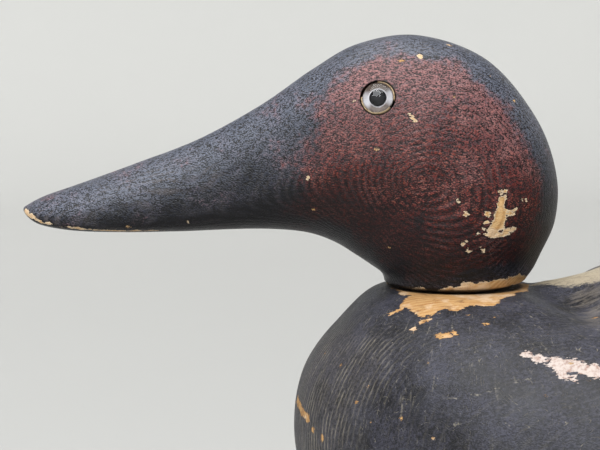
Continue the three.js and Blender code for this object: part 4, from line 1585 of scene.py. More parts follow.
@dataclass
class Eyes:
    """Both glass eyes: dome, pupil, painted backing and the putty that beds them."""

    radius: float = 4.7
    dome: float = 2.5
    sink: float = 0.9
    pupil: float = 2.42
    putty_in: float = 4.74
    putty_out: float = 5.2
    gaps: tuple[tuple[float, float], ...] = ((124.0, 47.0), (322.0, 20.0))

    def glass(self, eye: Eye) -> Piece:
        """The clear dome, cast round the pupil and its painted rings.

        Args:
            eye: Where it goes.

        Returns:
            The piece.
        """
        profile = [(0, -self.sink), (self.radius * 0.5, -self.sink), (self.radius - 0.3, -self.sink),
                   (self.radius - 0.06, 0.12 - self.sink), (self.radius, 0.4 - self.sink)]
        for step in range(25):
            angle = step / 24 * math.pi / 2
            profile.append((self.radius * math.cos(angle), self.dome * math.sin(angle)))
        shape = spun_mm(profile, 72)
        piece = as_object(f"eye_dome_{eye.label}", eye.placed(shape))
        shade(piece, 50)
        return piece

    def button(self, eye: Eye) -> Piece:
        """The pupil's black glass button.

        Args:
            eye: Where it goes.

        Returns:
            The piece.
        """
        low = 0.3 - self.sink
        profile = [(0, low), (self.pupil, low), (self.pupil, low + 0.06)]
        for step in range(1, 13):
            angle = step / 12 * math.pi / 2
            profile.append((self.pupil * math.cos(angle), low + 0.06 + 0.5 * math.sin(angle)))
        shape = spun_mm(profile, 48)
        piece = as_object(f"eye_pupil_button_{eye.label}", eye.placed(shape))
        shade(piece, 50)
        return piece

    def backing(self, eye: Eye) -> Piece:
        """The painted disc at the back of the glass, which carries the eye's coloured rings.

        Args:
            eye: Where it goes.

        Returns:
            The piece.
        """
        low, high = 0.04 - self.sink, 0.16 - self.sink
        radii = np.linspace(0, self.radius - 0.22, 18)
        profile = [(r, low) for r in radii] + [(r, high) for r in radii[::-1]]
        shape = spun_mm(profile, 64)
        piece = as_object(f"eye_backing_{eye.label}", shape)
        points, _ = points_and_normals(piece.data)
        out = np.linalg.norm(points[:, :2], axis=1) / MM
        keep_field(piece.data, "from_axis", out)
        # How far a point lies along the backing's X rather than its Y, which places the painted reflection.
        keep_field(piece.data, "sideways", (points[:, 0] / MM) ** 2 / np.maximum(out, 0.1) ** 2)
        piece.data.transform(eye.place)
        shade(piece, 50)
        return piece

    def putty(self, eye: Eye, seed: int) -> Piece:
        """The bed of putty round the glass, cracked away along parts of its rim.

        Args:
            eye: Where it goes.
            seed: Which ragged rim.

        Returns:
            The piece.
        """
        inner, outer = self.putty_in, self.putty_out
        profile = [(0.9, -5.2), (outer - 0.15, -5.2), (outer, -5.0), (outer, -0.7), (outer - 0.02, -0.1),
                   (outer - 0.12, 0.16), (outer - 0.34, 0.3), (inner + 0.3, 0.34), (inner + 0.1, 0.26),
                   (inner + 0.02, 0.05), (inner, -0.6), (inner, -1.25), (0.9, -1.25), (0.9, -5.2)]
        shape = spun_mm(profile, 144)
        bmesh.ops.subdivide_edges(
            shape, edges=[edge for edge in shape.edges if min(v.co.z for v in edge.verts) > -0.8 * MM
                          and edge.calc_length() > 0.2 * MM], cuts=1)
        for vert in shape.verts:
            out = math.hypot(vert.co.x, vert.co.y) / MM
            if vert.co.z / MM < -0.75 or out < inner - 0.2:
                continue
            turn = math.degrees(math.atan2(vert.co.y, vert.co.x)) % 360
            spot = np.array([[math.cos(math.radians(turn)) * 3, math.sin(math.radians(turn)) * 3, seed]])
            ragged = float(layered_noise(spot, 0.8, seed, 3)[0])
            missing = max(
                float(rise(half - abs((turn - middle + 180) % 360 - 180) + 14 * ragged, 0, 7))
                for middle, half in self.gaps)
            over = (vert.co.z / MM + 0.75) / 1.1
            vert.co.z -= MM * over * (missing * 2.4 + 0.3 * ragged)
            push = 1 + 0.045 * ragged * over
            vert.co.x, vert.co.y = vert.co.x * push, vert.co.y * push
        face_out(shape)
        piece = as_object(f"eye_putty_bed_{eye.label}", shape)
        points, _ = points_and_normals(piece.data)
        # How deep the putty lies in the socket, which sets its painted shade.
        keep_field(piece.data, "sunk", rise(points[:, 2] / MM, 0.1, -0.8))
        piece.data.transform(eye.place)
        shade(piece, 60)
        return piece

    def build(self, eyes: Sequence[Eye], slots: Slots) -> list[Piece]:
        """Builds both eyes.

        Args:
            eyes: Where they go.
            slots: Finishes by name.

        Returns:
            The pieces.
        """
        made = []
        for eye in eyes:
            label = eye.label
            made += [
                finish_piece(self.glass(eye), Body.HEAD, slots["clear_glass"], "clear_glass",
                             f"eye_glass_{label}"),
                finish_piece(self.button(eye), Body.HEAD, slots["black_glass"], "black_glass",
                             f"eye_pupil_{label}"),
                finish_piece(self.backing(eye), Body.HEAD, slots["eye_backing"], "white_lead"),
                finish_piece(self.putty(eye, 3 + eye.side.value), Body.HEAD, slots["white_lead"],
                             "white_lead", f"eye_putty_{label}"),
            ]
        return made


@dataclass
class Head:
    """The carved head, with its sockets, its dowel hole and all of its wear."""

    half_width: float = 0.0252
    height: float = 0.0794
    rings: int = 286
    sides: int = 300
    worn_rim: float = 0.0012
    bore: float = 0.0098
    pitch: float = 1.15
    heart: tuple[float, float] = (13.0, 35.0)
    bow_pitch: float = 2.3
    bow_reach: float = 27.0
    chips: tuple[Chip, ...] = HEAD_CHIPS

    def block(self) -> CarvedBlock:
        """The head's shape before it is worn.

        Returns:
            The loft.
        """
        return CarvedBlock(
            HEAD_STATIONS, (DATUM.neck_x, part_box("head_block")[0].z),
            (DATUM.bill_reach, self.half_width, self.height), closed_start=False)

    def carve(self, eyes: Sequence[Eye]) -> Piece:
        """Shapes the head.

        Args:
            eyes: Where its sockets are.

        Returns:
            The piece, with no finish.
        """
        block = self.block()
        low = block.even_stations(0, 0.1, 9)[:-1]
        skin = block.surface(np.concatenate([low, block.even_stations(0.1, 15, self.rings)]), self.sides)
        rim = [edge for edge in skin.edges if edge.is_boundary]
        bmesh.ops.edgeloop_fill(skin, edges=rim)
        face_out(skin)
        piece = as_object("carved_head", skin)
        points, normals = points_and_normals(piece.data)
        self.wear(piece.data, points, normals)
        _, dowel_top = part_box("neck_dowel")
        cutters = [rod(self.bore, 0.12, dowel_top.z + 0.3 * MM, DATUM.neck_x, 0, 64)]
        cut_away(piece, cutters + [eye.socket() for eye in eyes])
        shade(piece)
        return piece

    def figure(self, points: np.ndarray) -> np.ndarray:
        """The count of growth rings in the head, which bow round a heart under each eye.

        Args:
            points: Rows of x, y, z in metres.

        Returns:
            The count at each point.
        """
        ahead, _, above = from_neck(points).T
        bowed = np.hypot(ahead - self.heart[0], 1.15 * (above - self.heart[1]))
        bowed = self.bow_reach * np.tanh(bowed / self.bow_reach) + 2.6 * layered_noise(points, 0.022, 19, 3)
        return growth_phase(points, self.pitch, 11) + bowed / self.bow_pitch

    def wear(self, mesh: bpy.types.Mesh, points: np.ndarray, normals: np.ndarray) -> None:
        """Rounds the lower rim and raises the grain.

        Args:
            mesh: The head's mesh.
            points: Its vertices.
            normals: Their normals.
        """
        bottom = points[:, 2].min()
        rough = 1 + 0.35 * layered_noise(points, 0.009, 31, 3)
        reach = self.worn_rim * rough
        up = np.clip((points[:, 2] - bottom) / reach, 0, 1)
        inward = reach * (1 - np.sqrt(np.clip(1 - (1 - up) ** 2, 0, 1)))
        flat = normals * np.array([1, 1, 0])
        flat /= np.maximum(np.linalg.norm(flat, axis=1), 1e-9)[:, None]
        lower = (points[:, 2] < bottom + 2.2 * self.worn_rim)
        points = points - flat * (inward * lower)[:, None]
        ahead, aside, _ = from_neck(points).T
        under = 1 - rise(points[:, 2], bottom, bottom + 7 * MM)
        eaten = 0.15 + 1.2 * rise(-ahead, 2, 21) + 0.4 * rise(ahead, 12, 22)
        points[:, 2] += MM * under * eaten * rise(np.hypot(ahead, aside), 10.5, 14)
        phase = self.figure(points)
        facing = np.sqrt(np.clip(1 - normals[:, 1] ** 2, 0.01, 1))
        broad = rise(self.pitch / facing, 2.0, 4.5)
        lift = 0.05 * np.sin(2 * math.pi * phase) * broad + 0.12 * layered_noise(points, 0.02, 41, 3)
        clear = rise(points[:, 2], bottom + 0.5 * MM, bottom + 3 * MM)
        raise_surface(mesh, points, normals, lift * clear * MM)

    def mark(self, piece: Piece) -> None:
        """Stores where the paint is red, thin and gone.

        Args:
            piece: The carved head.
        """
        points, normals = points_and_normals(piece.data)
        ahead, aside, above = from_neck(points).T
        out = np.abs(aside)
        face = 1 - rise(ahead + 0.25 * (above - 40), 36, 60)
        wider = 3.2 * rise(-ahead, -10, 12)
        crown = rise(out - wider + 3.0 * layered_noise(points, 0.02, 51, 2), 9.5, 17)
        throat = rise(above - 0.32 * (ahead - 20), 4, 22)
        red = np.minimum(np.minimum(face, crown), 0.35 + 0.65 * throat)
        behind_joint = rise(-ahead, -14, 14)
        scuffed = rise(above, 4 + 9 * behind_joint, 1.5 + 4 * behind_joint)
        red -= 1.4 * scuffed
        keep_field(piece.data, "chestnut", red)
        # How far each point faces up (the scuffed rim behind the joint counts too): it drives the painted
        # sheen on top and the painted shade underneath.
        keep_field(piece.data, "upward", np.maximum(rise(normals[:, 2], -0.5, 0.85),
                                                    0.5 * scuffed * rise(-ahead, 0, 14)))
        keep_field(piece.data, "rings", self.figure(points))
        keep_field(piece.data, "bare", chipped_field(from_neck(points), self.chips) - 0.2)
        loose = 0.05 + 0.16 * rise(layered_noise(points, 0.03, 61, 3), 0.0, 0.6)
        keep_field(piece.data, "flecks", loose)
        # The lowest millimetre or so of the head, outside the dowel hole, is marked for painted shade at
        # the joint.
        keep_field(piece.data, "dirt_and_shade", 0.94 * rise(above, 2.0, 1.2) * rise(np.hypot(ahead, aside), 8, 10))
        edge = 0.3 + 0.9 * rise(out, 18, 8) * (1 - rise(ahead, 25, 50)) + 0.35 * rise(ahead, 60, 90)
        keep_field(piece.data, "grain", np.clip(edge, 0, 0.85))

    def build(self, eyes: Sequence[Eye], slots: Slots) -> list[Piece]:
        """Builds the head.

        Args:
            eyes: Where its sockets are.
            slots: Finishes by name.

        Returns:
            The pieces.
        """
        piece = self.carve(eyes)
        self.mark(piece)
        return [finish_piece(piece, Body.HEAD, slots["head_paint"], "head_paint", "head_block")]


# ---- the hull


@dataclass
class Hull:
    """The hull's two hollowed halves, in one carved skin that is parted at the seam."""

    half_width: float = 0.092
    depth: float = 0.103
    front_rings: int = 190
    back_rings: int = 150
    sides: int = 372
    roof: float = 0.018
    ground: float = 0.017
    wall: float = 0.017
    bore: float = 0.0098
    spot_face: float = 0.017
    nail_sink: float = 0.0031
    hole_past: float = 0.3
    shared_holes: tuple[tuple[str, float], ...] = (("body_nail", 1.7), ("seam_dowel", 4.3))
    lower_holes: tuple[tuple[str, float], ...] = (("keel_screw", 2.5), ("line_eye", 1.8))
    notch_depth: float = 5.5
    notch_behind: float = 31.0
    notch_sweep: float = 0.22
    notch_width: float = 11.0
    pitch: float = 1.5
    chips: tuple[Chip, ...] = HULL_CHIPS
    primer: tuple[Chip, ...] = WHITE_PATCHES

    def block(self, hollow: bool) -> CarvedBlock:
        """The hull's loft, or that of the hollow in it.

        Args:
            hollow: Whether it is the hollow's.

        Returns:
            The loft.
        """
        inset = (self.roof, self.ground, self.wall) if hollow else (0.0, 0.0, 0.0)
        return CarvedBlock(
            HULL_STATIONS, (DATUM.breast_x, DATUM.seat_z), (DATUM.hull_length, self.half_width, self.depth),
            closed_start=True, inset=inset, floor=DATUM.hull_bottom)

    def skin(self) -> Shape:
        """The whole outside, with the notch across the shoulders and the flat neck seat.

        Returns:
            A closed mesh.
        """
        block = self.block(hollow=False)
        stations = np.concatenate([
            block.even_stations(0, 9, self.front_rings)[:-1],
            block.even_stations(9, 16, self.back_rings)])
        skin = block.surface(stations, self.sides)
        points = np.array([vert.co for vert in skin.verts])
        _, aside, _ = from_neck(points).T
        behind, out = (points[:, 0] - DATUM.neck_x) / MM, np.abs(aside)
        offset = (behind - self.notch_behind - self.notch_sweep * out) / self.notch_width
        inward = 0.12 + 0.88 * rise(out, 0, 17)
        outward = 1 - rise(out, 24, 62)
        upper = rise(points[:, 2], 0.08, 0.095)
        points[:, 2] -= MM * self.notch_depth * np.exp(-(offset**2)) * inward * outward * upper
        above = (points[:, 2] - DATUM.seat_z) / MM
        soft = 0.35
        lowered = -soft * np.logaddexp(-above / soft, 0)
        seat = 1 - rise(behind, 24, 30)
        points[:, 2] += MM * (lowered - above) * seat * (above > -3)
        for vert, point in zip(skin.verts, points):
            vert.co = point
        return skin

    def half(self, name: str, skin: Shape, height: float, keep_above: bool) -> Piece:
        """One half of the hull, hollowed, from a copy of the skin.

        Args:
            name: The piece's name.
            skin: The whole outside.
            height: Where its seam face lies.
            keep_above: Whether it is the upper half.

        Returns:
            The closed piece.
        """
        shell = skin.copy()
        hollow = self.block(hollow=True)
        inside = hollow.surface(hollow.even_stations(4.3, 11.5, 60), 72)
        bmesh.ops.holes_fill(inside, edges=[edge for edge in inside.edges if edge.is_boundary])
        face_out(inside)
        bmesh.ops.reverse_faces(inside, faces=inside.faces)
        for shape in (shell, inside):
            bmesh.ops.bisect_plane(
                shape, geom=shape.verts[:] + shape.edges[:] + shape.faces[:], dist=1e-7,
                plane_co=(0, 0, height), plane_no=(0, 0, 1),
                clear_inner=keep_above, clear_outer=not keep_above)
        scratch = bpy.data.meshes.new("hollow")
        inside.to_mesh(scratch)
        inside.free()
        shell.from_mesh(scratch)
        bpy.data.meshes.remove(scratch)
        bmesh.ops.bridge_loops(shell, edges=[edge for edge in shell.edges if edge.is_boundary])
        bmesh.ops.triangulate(shell, faces=[face for face in shell.faces if len(face.verts) > 4])
        face_out(shell)
        return as_object(name, shell)

    def holes(self, kinds: Iterable[tuple[str, float]]) -> list[Shape]:
        """Rods round fastenings that stand upright, with their clearance.

        Args:
            kinds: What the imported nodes' names begin with, each with its holes' radius in millimetres.

        Returns:
            The cutters.
        """
        past = self.hole_past * MM
        return [
            rod(radius * MM, low.z - past, high.z + past, (low.x + high.x) / 2, (low.y + high.y) / 2, 24)
            for kind, radius in kinds for low, high in packed_boxes(kind)]

    def carve(self) -> tuple[Piece, Piece]:
        """Shapes both halves.

        Returns:
            The upper and the lower half, with no finish.
        """
        skin = self.skin()
        upper = self.half("hull_upper", skin, DATUM.seam_high, True)
        lower = self.half("hull_lower", skin, DATUM.seam_low, False)
        skin.free()
        for piece in (upper, lower):
            points, normals = points_and_normals(piece.data)
            outside = self.on_outside(points, normals)
            phase = growth_phase(points, self.pitch, 71)
            facing = np.sqrt(np.clip(1 - normals[:, 1] ** 2, 0.01, 1))
            broad = rise(self.pitch / facing, 2.0, 4.5)
            lift = 0.07 * np.sin(2 * math.pi * phase) * broad + 0.22 * layered_noise(points, 0.028, 81, 3)
            raise_surface(piece.data, points, normals, lift * outside * MM)
        roof = DATUM.seat_z - self.roof
        cut_away(upper, [rod(self.bore, roof - 0.02, DATUM.seat_z + 0.01, DATUM.neck_x, 0, 64)])
        cut_away(upper, [
            rod(self.spot_face, roof - 0.025, roof + 3 * MM, DATUM.neck_x, 0, 64),
            *self.holes(self.shared_holes),
        ])
        cut_away(lower, self.holes(self.shared_holes + self.lower_holes))
        cut_away(lower, [
            rod(self.nail_sink, 0.01, low.z + 1.5 * MM, (low.x + high.x) / 2, (low.y + high.y) / 2, 32)
            for low, high in packed_boxes("body_nail")])
        for piece in (upper, lower):
            shade(piece)
        return upper, lower

    def on_outside(self, points: np.ndarray, normals: np.ndarray) -> np.ndarray:
        """A share that is 1 on the outside, away from the seam, the seat and the flat bottom.

        Args:
            points: A half's vertices.
            normals: Their normals.

        Returns:
            The share at each vertex.
        """
        seam = (DATUM.seam_low + DATUM.seam_high) / 2
        away = rise(np.abs(points[:, 2] - seam), 0.6 * MM, 4 * MM)
        ahead, aside, _ = from_neck(points).T
        seat = rise(np.hypot(ahead + 2, aside * 0.9), 20, 26)
        inside = (np.abs(aside) * MM < self.half_width - self.wall) & (ahead < 8) & (ahead > -260)
        inside &= normals[:, 2] * (points[:, 2] - seam) < 0
        bottom = rise(points[:, 2], DATUM.hull_bottom + 0.2 * MM, DATUM.hull_bottom + 3 * MM)
        return away * seat * bottom * ~inside

    def mark(self, piece: Piece) -> None:
        """Stores where the paint is pale, stained, grained and gone.

        Args:
            piece: Either half.
        """
        points, _ = points_and_normals(piece.data)
        places = from_neck(points)
        ahead, aside, above = places.T
        behind, out = -ahead, np.abs(aside)
        wander = 7 * layered_noise(points, 0.05, 91, 3)
        front = rise(behind - 26 - 1.9 * np.minimum(out, 34) + 0.10 * np.minimum(above, 0) + wander, -9, 9)
        rump = 1 - rise(behind + 0.5 * out + wander, 218, 236)
        tail = rise(behind + wander, 284, 296) * 0.55
        keep_field(piece.data, "pale", np.maximum(np.minimum(front, rump), tail))
        smear = np.exp(-(((behind - 36 - 0.2 * out) / 10) ** 2)) * rise(out, 3, 14) * (above > -60)
        waterline = 0.55 * rise(-above, 46, 84)
        keep_field(piece.data, "stain", 0.45 * layered_noise(points, 0.04, 95, 4) + 0.7 * smear + waterline)
        shoulder = rise(behind, 22, 40) * rise(behind, 100, 62) * rise(out, 4, 12) * rise(out, 62, 34)
        keep_field(piece.data, "smear", shoulder * (above > -40))
        keep_field(piece.data, "rings", growth_phase(points, self.pitch, 71))
        breast = rise(ahead, 12, 28) * rise(-above, 4, 18) * (1 - rise(out, 34, 50))
        keep_field(piece.data, "grain", 0.1 + 0.9 * breast)
        away = np.hypot(ahead, aside)
        keep_field(piece.data, "around", 26 * np.arctan2(out, ahead))
        keep_field(piece.data, "away", 0.09 * away)
        keep_field(piece.data, "brushed", rise(away, 21, 26) * rise(away, 78, 44) * (above > -60))
        keep_field(piece.data, "scored", chipped_field(places, BREAST_SCRATCHES) - 0.32)
        field_of = chipped_field(places, self.chips)
        seam = (DATUM.seam_low + DATUM.seam_high) / 2
        from_seam = np.abs(points[:, 2] - seam) / MM
        along_seam = 0.9 * layered_noise(points, 0.03, 97, 3) - 0.25 - from_seam * 0.4
        ends = 1.4 - np.abs(behind - 308) * 0.3
        ends += 1.6 * layered_noise(points, 0.02, 98, 3)
        belly = 0.9 - (points[:, 2] - DATUM.hull_bottom) / MM * 0.12
        belly += 1.8 * layered_noise(points, 0.03, 99, 3) - 1.2
        for more in (along_seam, ends, belly):
            field_of = np.maximum(field_of, np.clip(more, -3, 3))
        keep_field(piece.data, "bare", field_of)
        keep_field(piece.data, "primer", chipped_field(places, self.primer) - 0.05)
        # The seat inside the outline of the head's base is marked for painted shade under the head.
        under_head = rise(np.hypot(ahead / 22.2, aside / 19.5), 1.0, 0.95)
        keep_field(piece.data, "dirt_and_shade", 0.92 * under_head * (above > -1.2))
        loose = 0.08 + 0.16 * rise(layered_noise(points, 0.05, 65, 3), 0.0, 0.6)
        keep_field(piece.data, "flecks", loose)

    def build(self, slots: Slots) -> list[Piece]:
        """Builds the hull.

        Args:
            slots: Finishes by name.

        Returns:
            The pieces.
        """
        upper, lower = self.carve()
        for piece in (upper, lower):
            self.mark(piece)
        return [
            finish_piece(upper, Body.HULL, slots["hull_paint"], "body_paint", "body_top"),
            finish_piece(lower, Body.HULL, slots["hull_paint"], "bottom_paint", "body_bottom"),
        ]


# ---- the keel and what hangs on it


@dataclass
class Keel:
    """The keel board, its lead and the line's eye and ring."""

    nose: float = 0.01375
    heel: float = 0.015
    grid: float = 0.0009
    nail_hole: float = 0.0016
    screw_hole: float = 0.0025
    screw_rim: float = 0.0014
    screw_cone: float = 0.0046
    lead_edge: float = 0.0008

    def board(self) -> Piece:
        """The weathered board, with its pocket and screw holes.

        Returns:
            The piece.
        """
        low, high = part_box("keel")
        outline = [(low.x, high.z)]
        for step in range(13):
            angle = math.pi + step / 12 * math.pi / 2
            outline.append((low.x + self.nose * (1 + math.cos(angle)), self.nose * (1 + math.sin(angle))))
        outline += [(high.x - self.heel, 0), (high.x, self.heel), (high.x, high.z)]
        shape = bmesh.new()
        face = shape.faces.new([shape.verts.new((x, low.y, z)) for x, z in outline])
        grown = bmesh.ops.extrude_face_region(shape, geom=[face])
        far = [one for one in grown["geom"] if isinstance(one, bmesh.types.BMVert)]
        bmesh.ops.translate(shape, verts=far, vec=(0, high.y - low.y, 0))
        face_out(shape)
        piece = as_object("keel_board", shape)
        modify(piece, "REMESH", mode="VOXEL", voxel_size=self.grid)
        modify(piece, "SMOOTH", iterations=3, factor=0.5)
        points, normals = points_and_normals(piece.data)
        grain = layered_noise(points * np.array([0.12, 1, 1]), 0.0035, 5, 2)
        top = rise(points[:, 2], high.z - 2 * MM, high.z - 4 * MM)
        foot = rise(points[:, 2], low.z + 0.4 * MM, low.z + 2 * MM)
        lift = (0.14 * grain + 0.3 * layered_noise(points, 0.02, 6, 3) - 0.1) * top * foot
        raise_surface(piece.data, points, normals, lift * MM)
        pocket_low, pocket_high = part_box("ballast")
        pocket = bmesh.new()
        bmesh.ops.create_cube(pocket, size=1.0)
        for vert in pocket.verts:
            for axis in range(3):
                edge = pocket_high[axis] + 0.3 * MM if vert.co[axis] > 0 else pocket_low[axis] - 0.3 * MM
                vert.co[axis] = edge if axis < 2 or vert.co[axis] > 0 else -0.01
        screws = []
        for screw_low, screw_high in packed_boxes("keel_screw"):
            reach = (screw_high.x - screw_low.x) / 2 + 0.3 * MM
            hole = profile_spin([
                (0, -0.01), (reach, -0.01), (reach, self.screw_rim), (self.screw_hole, self.screw_cone),
                (self.screw_hole, 0.04), (0, 0.04)], 32)
            bmesh.ops.translate(hole, verts=hole.verts, vec=((screw_low.x + screw_high.x) / 2, 0, 0))
            screws.append(hole)
        cut_away(piece, [pocket, *screws])
        cut_away(piece, [
            rod(self.nail_hole, 0.01, nail_high.z + 0.3 * MM, (nail_low.x + nail_high.x) / 2, 0, 20)
            for nail_low, nail_high in packed_boxes("ballast_nail")])
        points, _ = points_and_normals(piece.data)
        rub = 1.3 - np.minimum(points[:, 2] - low.z, 14 * MM) / MM * 0.1
        rub += np.maximum(0, 1 - np.minimum(points[:, 0] - low.x, high.x - points[:, 0]) / (9 * MM))
        keep_field(piece.data, "wear", rub - 1.1)
        shade(piece)
        return piece

    def lead(self) -> Piece:
        """The cast lead bar.

        Returns:
            The piece.
        """
        low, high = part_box("ballast")
        bar = bmesh.new()
        bmesh.ops.create_cube(bar, size=1.0)
        for vert in bar.verts:
            vert.co = Vector(high[i] if vert.co[i] > 0 else low[i] for i in range(3))
        bmesh.ops.subdivide_edges(bar, edges=[e for e in bar.edges if e.calc_length() > 0.05], cuts=30,
                                  use_grid_fill=True)
        bmesh.ops.subdivide_edges(bar, edges=[e for e in bar.edges if e.calc_length() > 0.005], cuts=6,
                                  use_grid_fill=True)
        sharp = [edge for edge in bar.edges if edge.calc_face_angle(0) > 1]
        bmesh.ops.bevel(bar, geom=sharp, offset=self.lead_edge, affect="EDGES", segments=3, profile=0.5,
                        material=-1)
        face_out(bar)
        piece = as_object("lead_bar", bar)
        points, normals = points_and_normals(piece.data)
        raise_surface(piece.data, points, normals, (0.16 * layered_noise(points, 0.012, 8, 3) - 0.12) * MM)
        cut_away(piece, [
            rod(self.nail_hole, -0.01, 0.03, (nail_low.x + nail_high.x) / 2, 0, 20)
            for nail_low, nail_high in packed_boxes("ballast_nail")])
        shade(piece, 50)
        return piece

    def eye(self) -> Piece:
        """The screw eye that the anchor line's ring hangs from.

        Returns:
            The piece.
        """
        low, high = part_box("line_eye")
        wire = (high.y - low.y) / 2
        outer = (high.x - low.x) / 2
        middle = Vector(((low.x + high.x) / 2, 0, low.z + outer))
        loop = wire_ring(outer - wire, wire, 56, 18)
        bmesh.ops.translate(loop, verts=loop.verts, vec=middle)
        piece = as_object("line_screw_eye", loop)
        shank_low = middle.z + outer - 1.6 * wire
        shank = profile_spin([(0, shank_low), (0.9 * wire, shank_low), (wire, shank_low + 1 * MM),
                              (wire, high.z - 4 * MM), (0.2 * wire, high.z), (0, high.z)], 18)
        bmesh.ops.translate(shank, verts=shank.verts, vec=(middle.x, 0, 0))
        tool = as_object("shank", shank)
        modify(piece, "BOOLEAN", operation="UNION", solver="EXACT", object=tool)
        bpy.data.objects.remove(tool)
        shade(piece, 60)
        return piece

    def ring(self) -> Piece:
        """The ring that the anchor line is tied to.

        Returns:
            The piece.
        """
        low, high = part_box("line_ring")
        wire = (high.x - low.x) / 2
        outer = (high.y - low.y) / 2
        ring = wire_ring(outer - wire, wire, 72, 18)
        bmesh.ops.rotate(ring, verts=ring.verts, matrix=Matrix.Rotation(math.pi / 2, 3, "Z"))
        bmesh.ops.translate(ring, verts=ring.verts, vec=(low + high) / 2)
        piece = as_object("line_tie_ring", ring)
        shade(piece, 60)
        return piece

    def build(self, slots: Slots) -> list[Piece]:
        """Builds the keel and its hardware.

        Args:
            slots: Finishes by name.

        Returns:
            The pieces.
        """
        return [
            finish_piece(self.board(), Body.HULL, slots["keel_paint"], "keel_paint", "keel"),
            finish_piece(self.lead(), Body.HULL, slots["lead"], "lead", "ballast"),
            finish_piece(self.eye(), Body.HULL, slots["brass"], "brass", "line_eye"),
            finish_piece(self.ring(), Body.RING, slots["brass"], "brass", "line_ring"),
        ]


# ---- fastenings, studio and the whole


@dataclass
class Fastenings:
    """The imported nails, screws, dowels and bedding, which keep their shapes and get finishes."""

    finishes: tuple[tuple[str, str], ...] = (
        ("neck_dowel", "bare_wood"), ("seam_dowel", "bare_wood"), ("neck_washer", "steel"),
        ("neck_screw", "steel"), ("eye_wire", "steel"), ("body_nail", "steel"), ("ballast_nail", "steel"),
        ("keel_screw", "brass"), ("seam_bedding", "white_lead"),
    )

    def build(self, slots: Slots) -> list[Piece]:
        """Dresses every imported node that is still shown.

        Args:
            slots: Finishes by name.

        Returns:
            The nodes.
        """
        dressed = []
        for name, node in sorted(frame["nodes"].items()):
            for kind, finish in self.finishes:
                if name.startswith(kind):
                    for slot in node.material_slots:
                        slot.material = slots[finish]
                    dressed.append(node)
        return dressed


@dataclass(frozen=True)
class SoftLight:
    """A square soft light."""

    name: str
    place: Triple
    size: float
    watts: float
    tint: Triple


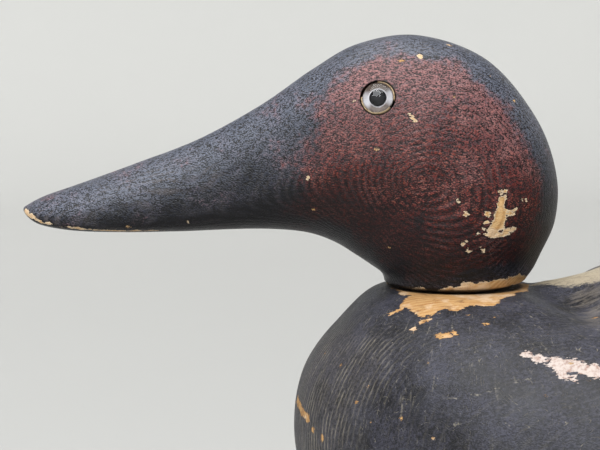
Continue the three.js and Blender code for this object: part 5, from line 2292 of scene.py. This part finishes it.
@dataclass
class Studio:
    """A pale round sweep, soft light and the camera at the bird's left side."""

    flat: float = 1.7
    bend: float = 1.5
    wall: float = 2.4
    aim: Triple = (-0.1346, 0.0, 0.1475)
    distance: float = 0.42
    down: float = 6.0
    lens: float = 78.6
    near: Colour = (0.36, 0.36, 0.35, 1.0)
    far: Colour = (0.74, 0.74, 0.72, 1.0)
    sky: Colour = (0.97, 0.985, 1.0, 1.0)
    sky_strength: float = 0.1
    lit: Triple = (-0.05, 0.0, 0.12)
    lights: tuple[SoftLight, ...] = (
        SoftLight("ceiling", (-0.25, -0.35, 2.3), 2.4, 92.0, (1.0, 0.995, 0.985)),
        SoftLight("window", (-0.8, -1.7, 2.0), 1.3, 50.0, (0.94, 0.97, 1.0)),
    )

    def backdrop(self) -> Piece:
        """The floor, which curves up into a wall all round.

        Returns:
            The sweep.
        """
        profile = [(0, 0), (self.flat * 0.5, 0), (self.flat, 0)]
        for step in range(1, 25):
            angle = step / 24 * math.pi / 2
            profile.append((self.flat + self.bend * math.sin(angle), self.bend * (1 - math.cos(angle))))
        profile.append((self.flat + self.bend, self.wall))
        floor = profile_spin(profile, 128)
        piece = as_object("studio_sweep", floor)
        shade(piece, 60)
        made, net, shader = new_finish("studio_paper")
        out = net.node("ShaderNodeVectorMath", operation="LENGTH")
        net.put(out.inputs[0], net.stretch(net.place(), (1.0, 1.0, 0.0)))
        soft = net.scaled(net.noise(net.place(), 2.2, 2, 0.5), 0.1, out.outputs["Value"])
        net.put(shader.inputs["Base Color"], net.colour_mix(net.step(soft, 0.3, 3.0), self.near, self.far))
        shader.inputs["Roughness"].default_value = 0.9
        piece.data.materials.append(made)
        return piece

    def hang(self, lamp: SoftLight) -> None:
        """Hangs one light, facing the decoy.

        Args:
            lamp: The light.
        """
        data = bpy.data.lights.new(lamp.name, "AREA")
        data.shape, data.size, data.energy, data.color = "SQUARE", lamp.size, lamp.watts, lamp.tint
        light = bpy.data.objects.new(lamp.name, data)
        light.location = lamp.place
        light.rotation_mode = "QUATERNION"
        facing = Vector(self.lit) - Vector(lamp.place)
        light.rotation_quaternion = facing.to_track_quat("-Z", "Y")
        bpy.context.scene.collection.objects.link(light)

    def build(self) -> None:
        """Sets up the sweep, the lights, the sky above and the camera."""
        self.backdrop()
        for lamp in self.lights:
            self.hang(lamp)
        world = bpy.data.worlds.new("soft_sky")
        world.use_nodes = True
        glow = next(node for node in world.node_tree.nodes if node.type == "BACKGROUND")
        glow.inputs["Color"].default_value = self.sky
        glow.inputs["Strength"].default_value = self.sky_strength
        bpy.context.scene.world = world
        bpy.context.scene.view_settings.view_transform = "Standard"
        data = bpy.data.cameras.new("camera")
        data.sensor_width, data.lens = 36.0, self.lens
        data.clip_start, data.clip_end = 0.02, 20.0
        camera = bpy.data.objects.new("camera", data)
        tilt = math.radians(self.down)
        aim = Vector(self.aim)
        camera.location = aim + Vector((0, -math.cos(tilt), math.sin(tilt))) * self.distance
        camera.rotation_mode = "QUATERNION"
        camera.rotation_quaternion = (aim - camera.location).to_track_quat("-Z", "Y")
        bpy.context.scene.collection.objects.link(camera)
        bpy.context.scene.camera = camera


def finishes() -> Slots:
    """Every finish of the decoy by name.

    Returns:
        The materials.
    """
    return {
        "head_paint": HeadPaint().material(),
        "hull_paint": HullPaint().material(),
        "keel_paint": RubbedPaint("keel_paint", paint(66, 68, 70), paint(40, 42, 46)).material(),
        "bare_wood": PlainTimber().material(),
        "white_lead": Putty().material(),
        "clear_glass": EyeGlass().material(),
        "eye_backing": EyeBacking().material(),
        "black_glass": BlackGlass().material(),
        "steel": OldMetal("rusty_steel", (0.32, 0.30, 0.28, 1), paint(92, 52, 34), 0.42, 0.55).material(),
        "lead": OldMetal("cast_lead", (0.26, 0.265, 0.28, 1), paint(132, 134, 136), 0.5, 0.6).material(),
        "brass": OldMetal("old_brass", (0.55, 0.38, 0.16, 1), paint(78, 74, 52), 0.36, 0.5).material(),
    }


def main() -> None:
    """Builds the decoy from head to keel, then the studio round it."""
    logging.basicConfig(level=logging.INFO, format="%(name)s: %(message)s")
    slots = finishes()
    eyes = [Eye(side) for side in Side]
    made = [*Head().build(eyes, slots), *Eyes().build(eyes, slots), *Hull().build(slots),
            *Keel().build(slots), *Fastenings().build(slots)]
    for piece in made:
        log.info("%s: %d faces", piece.name, len(piece.data.polygons))
    Studio().build()


if __name__ == "__main__":
    main()
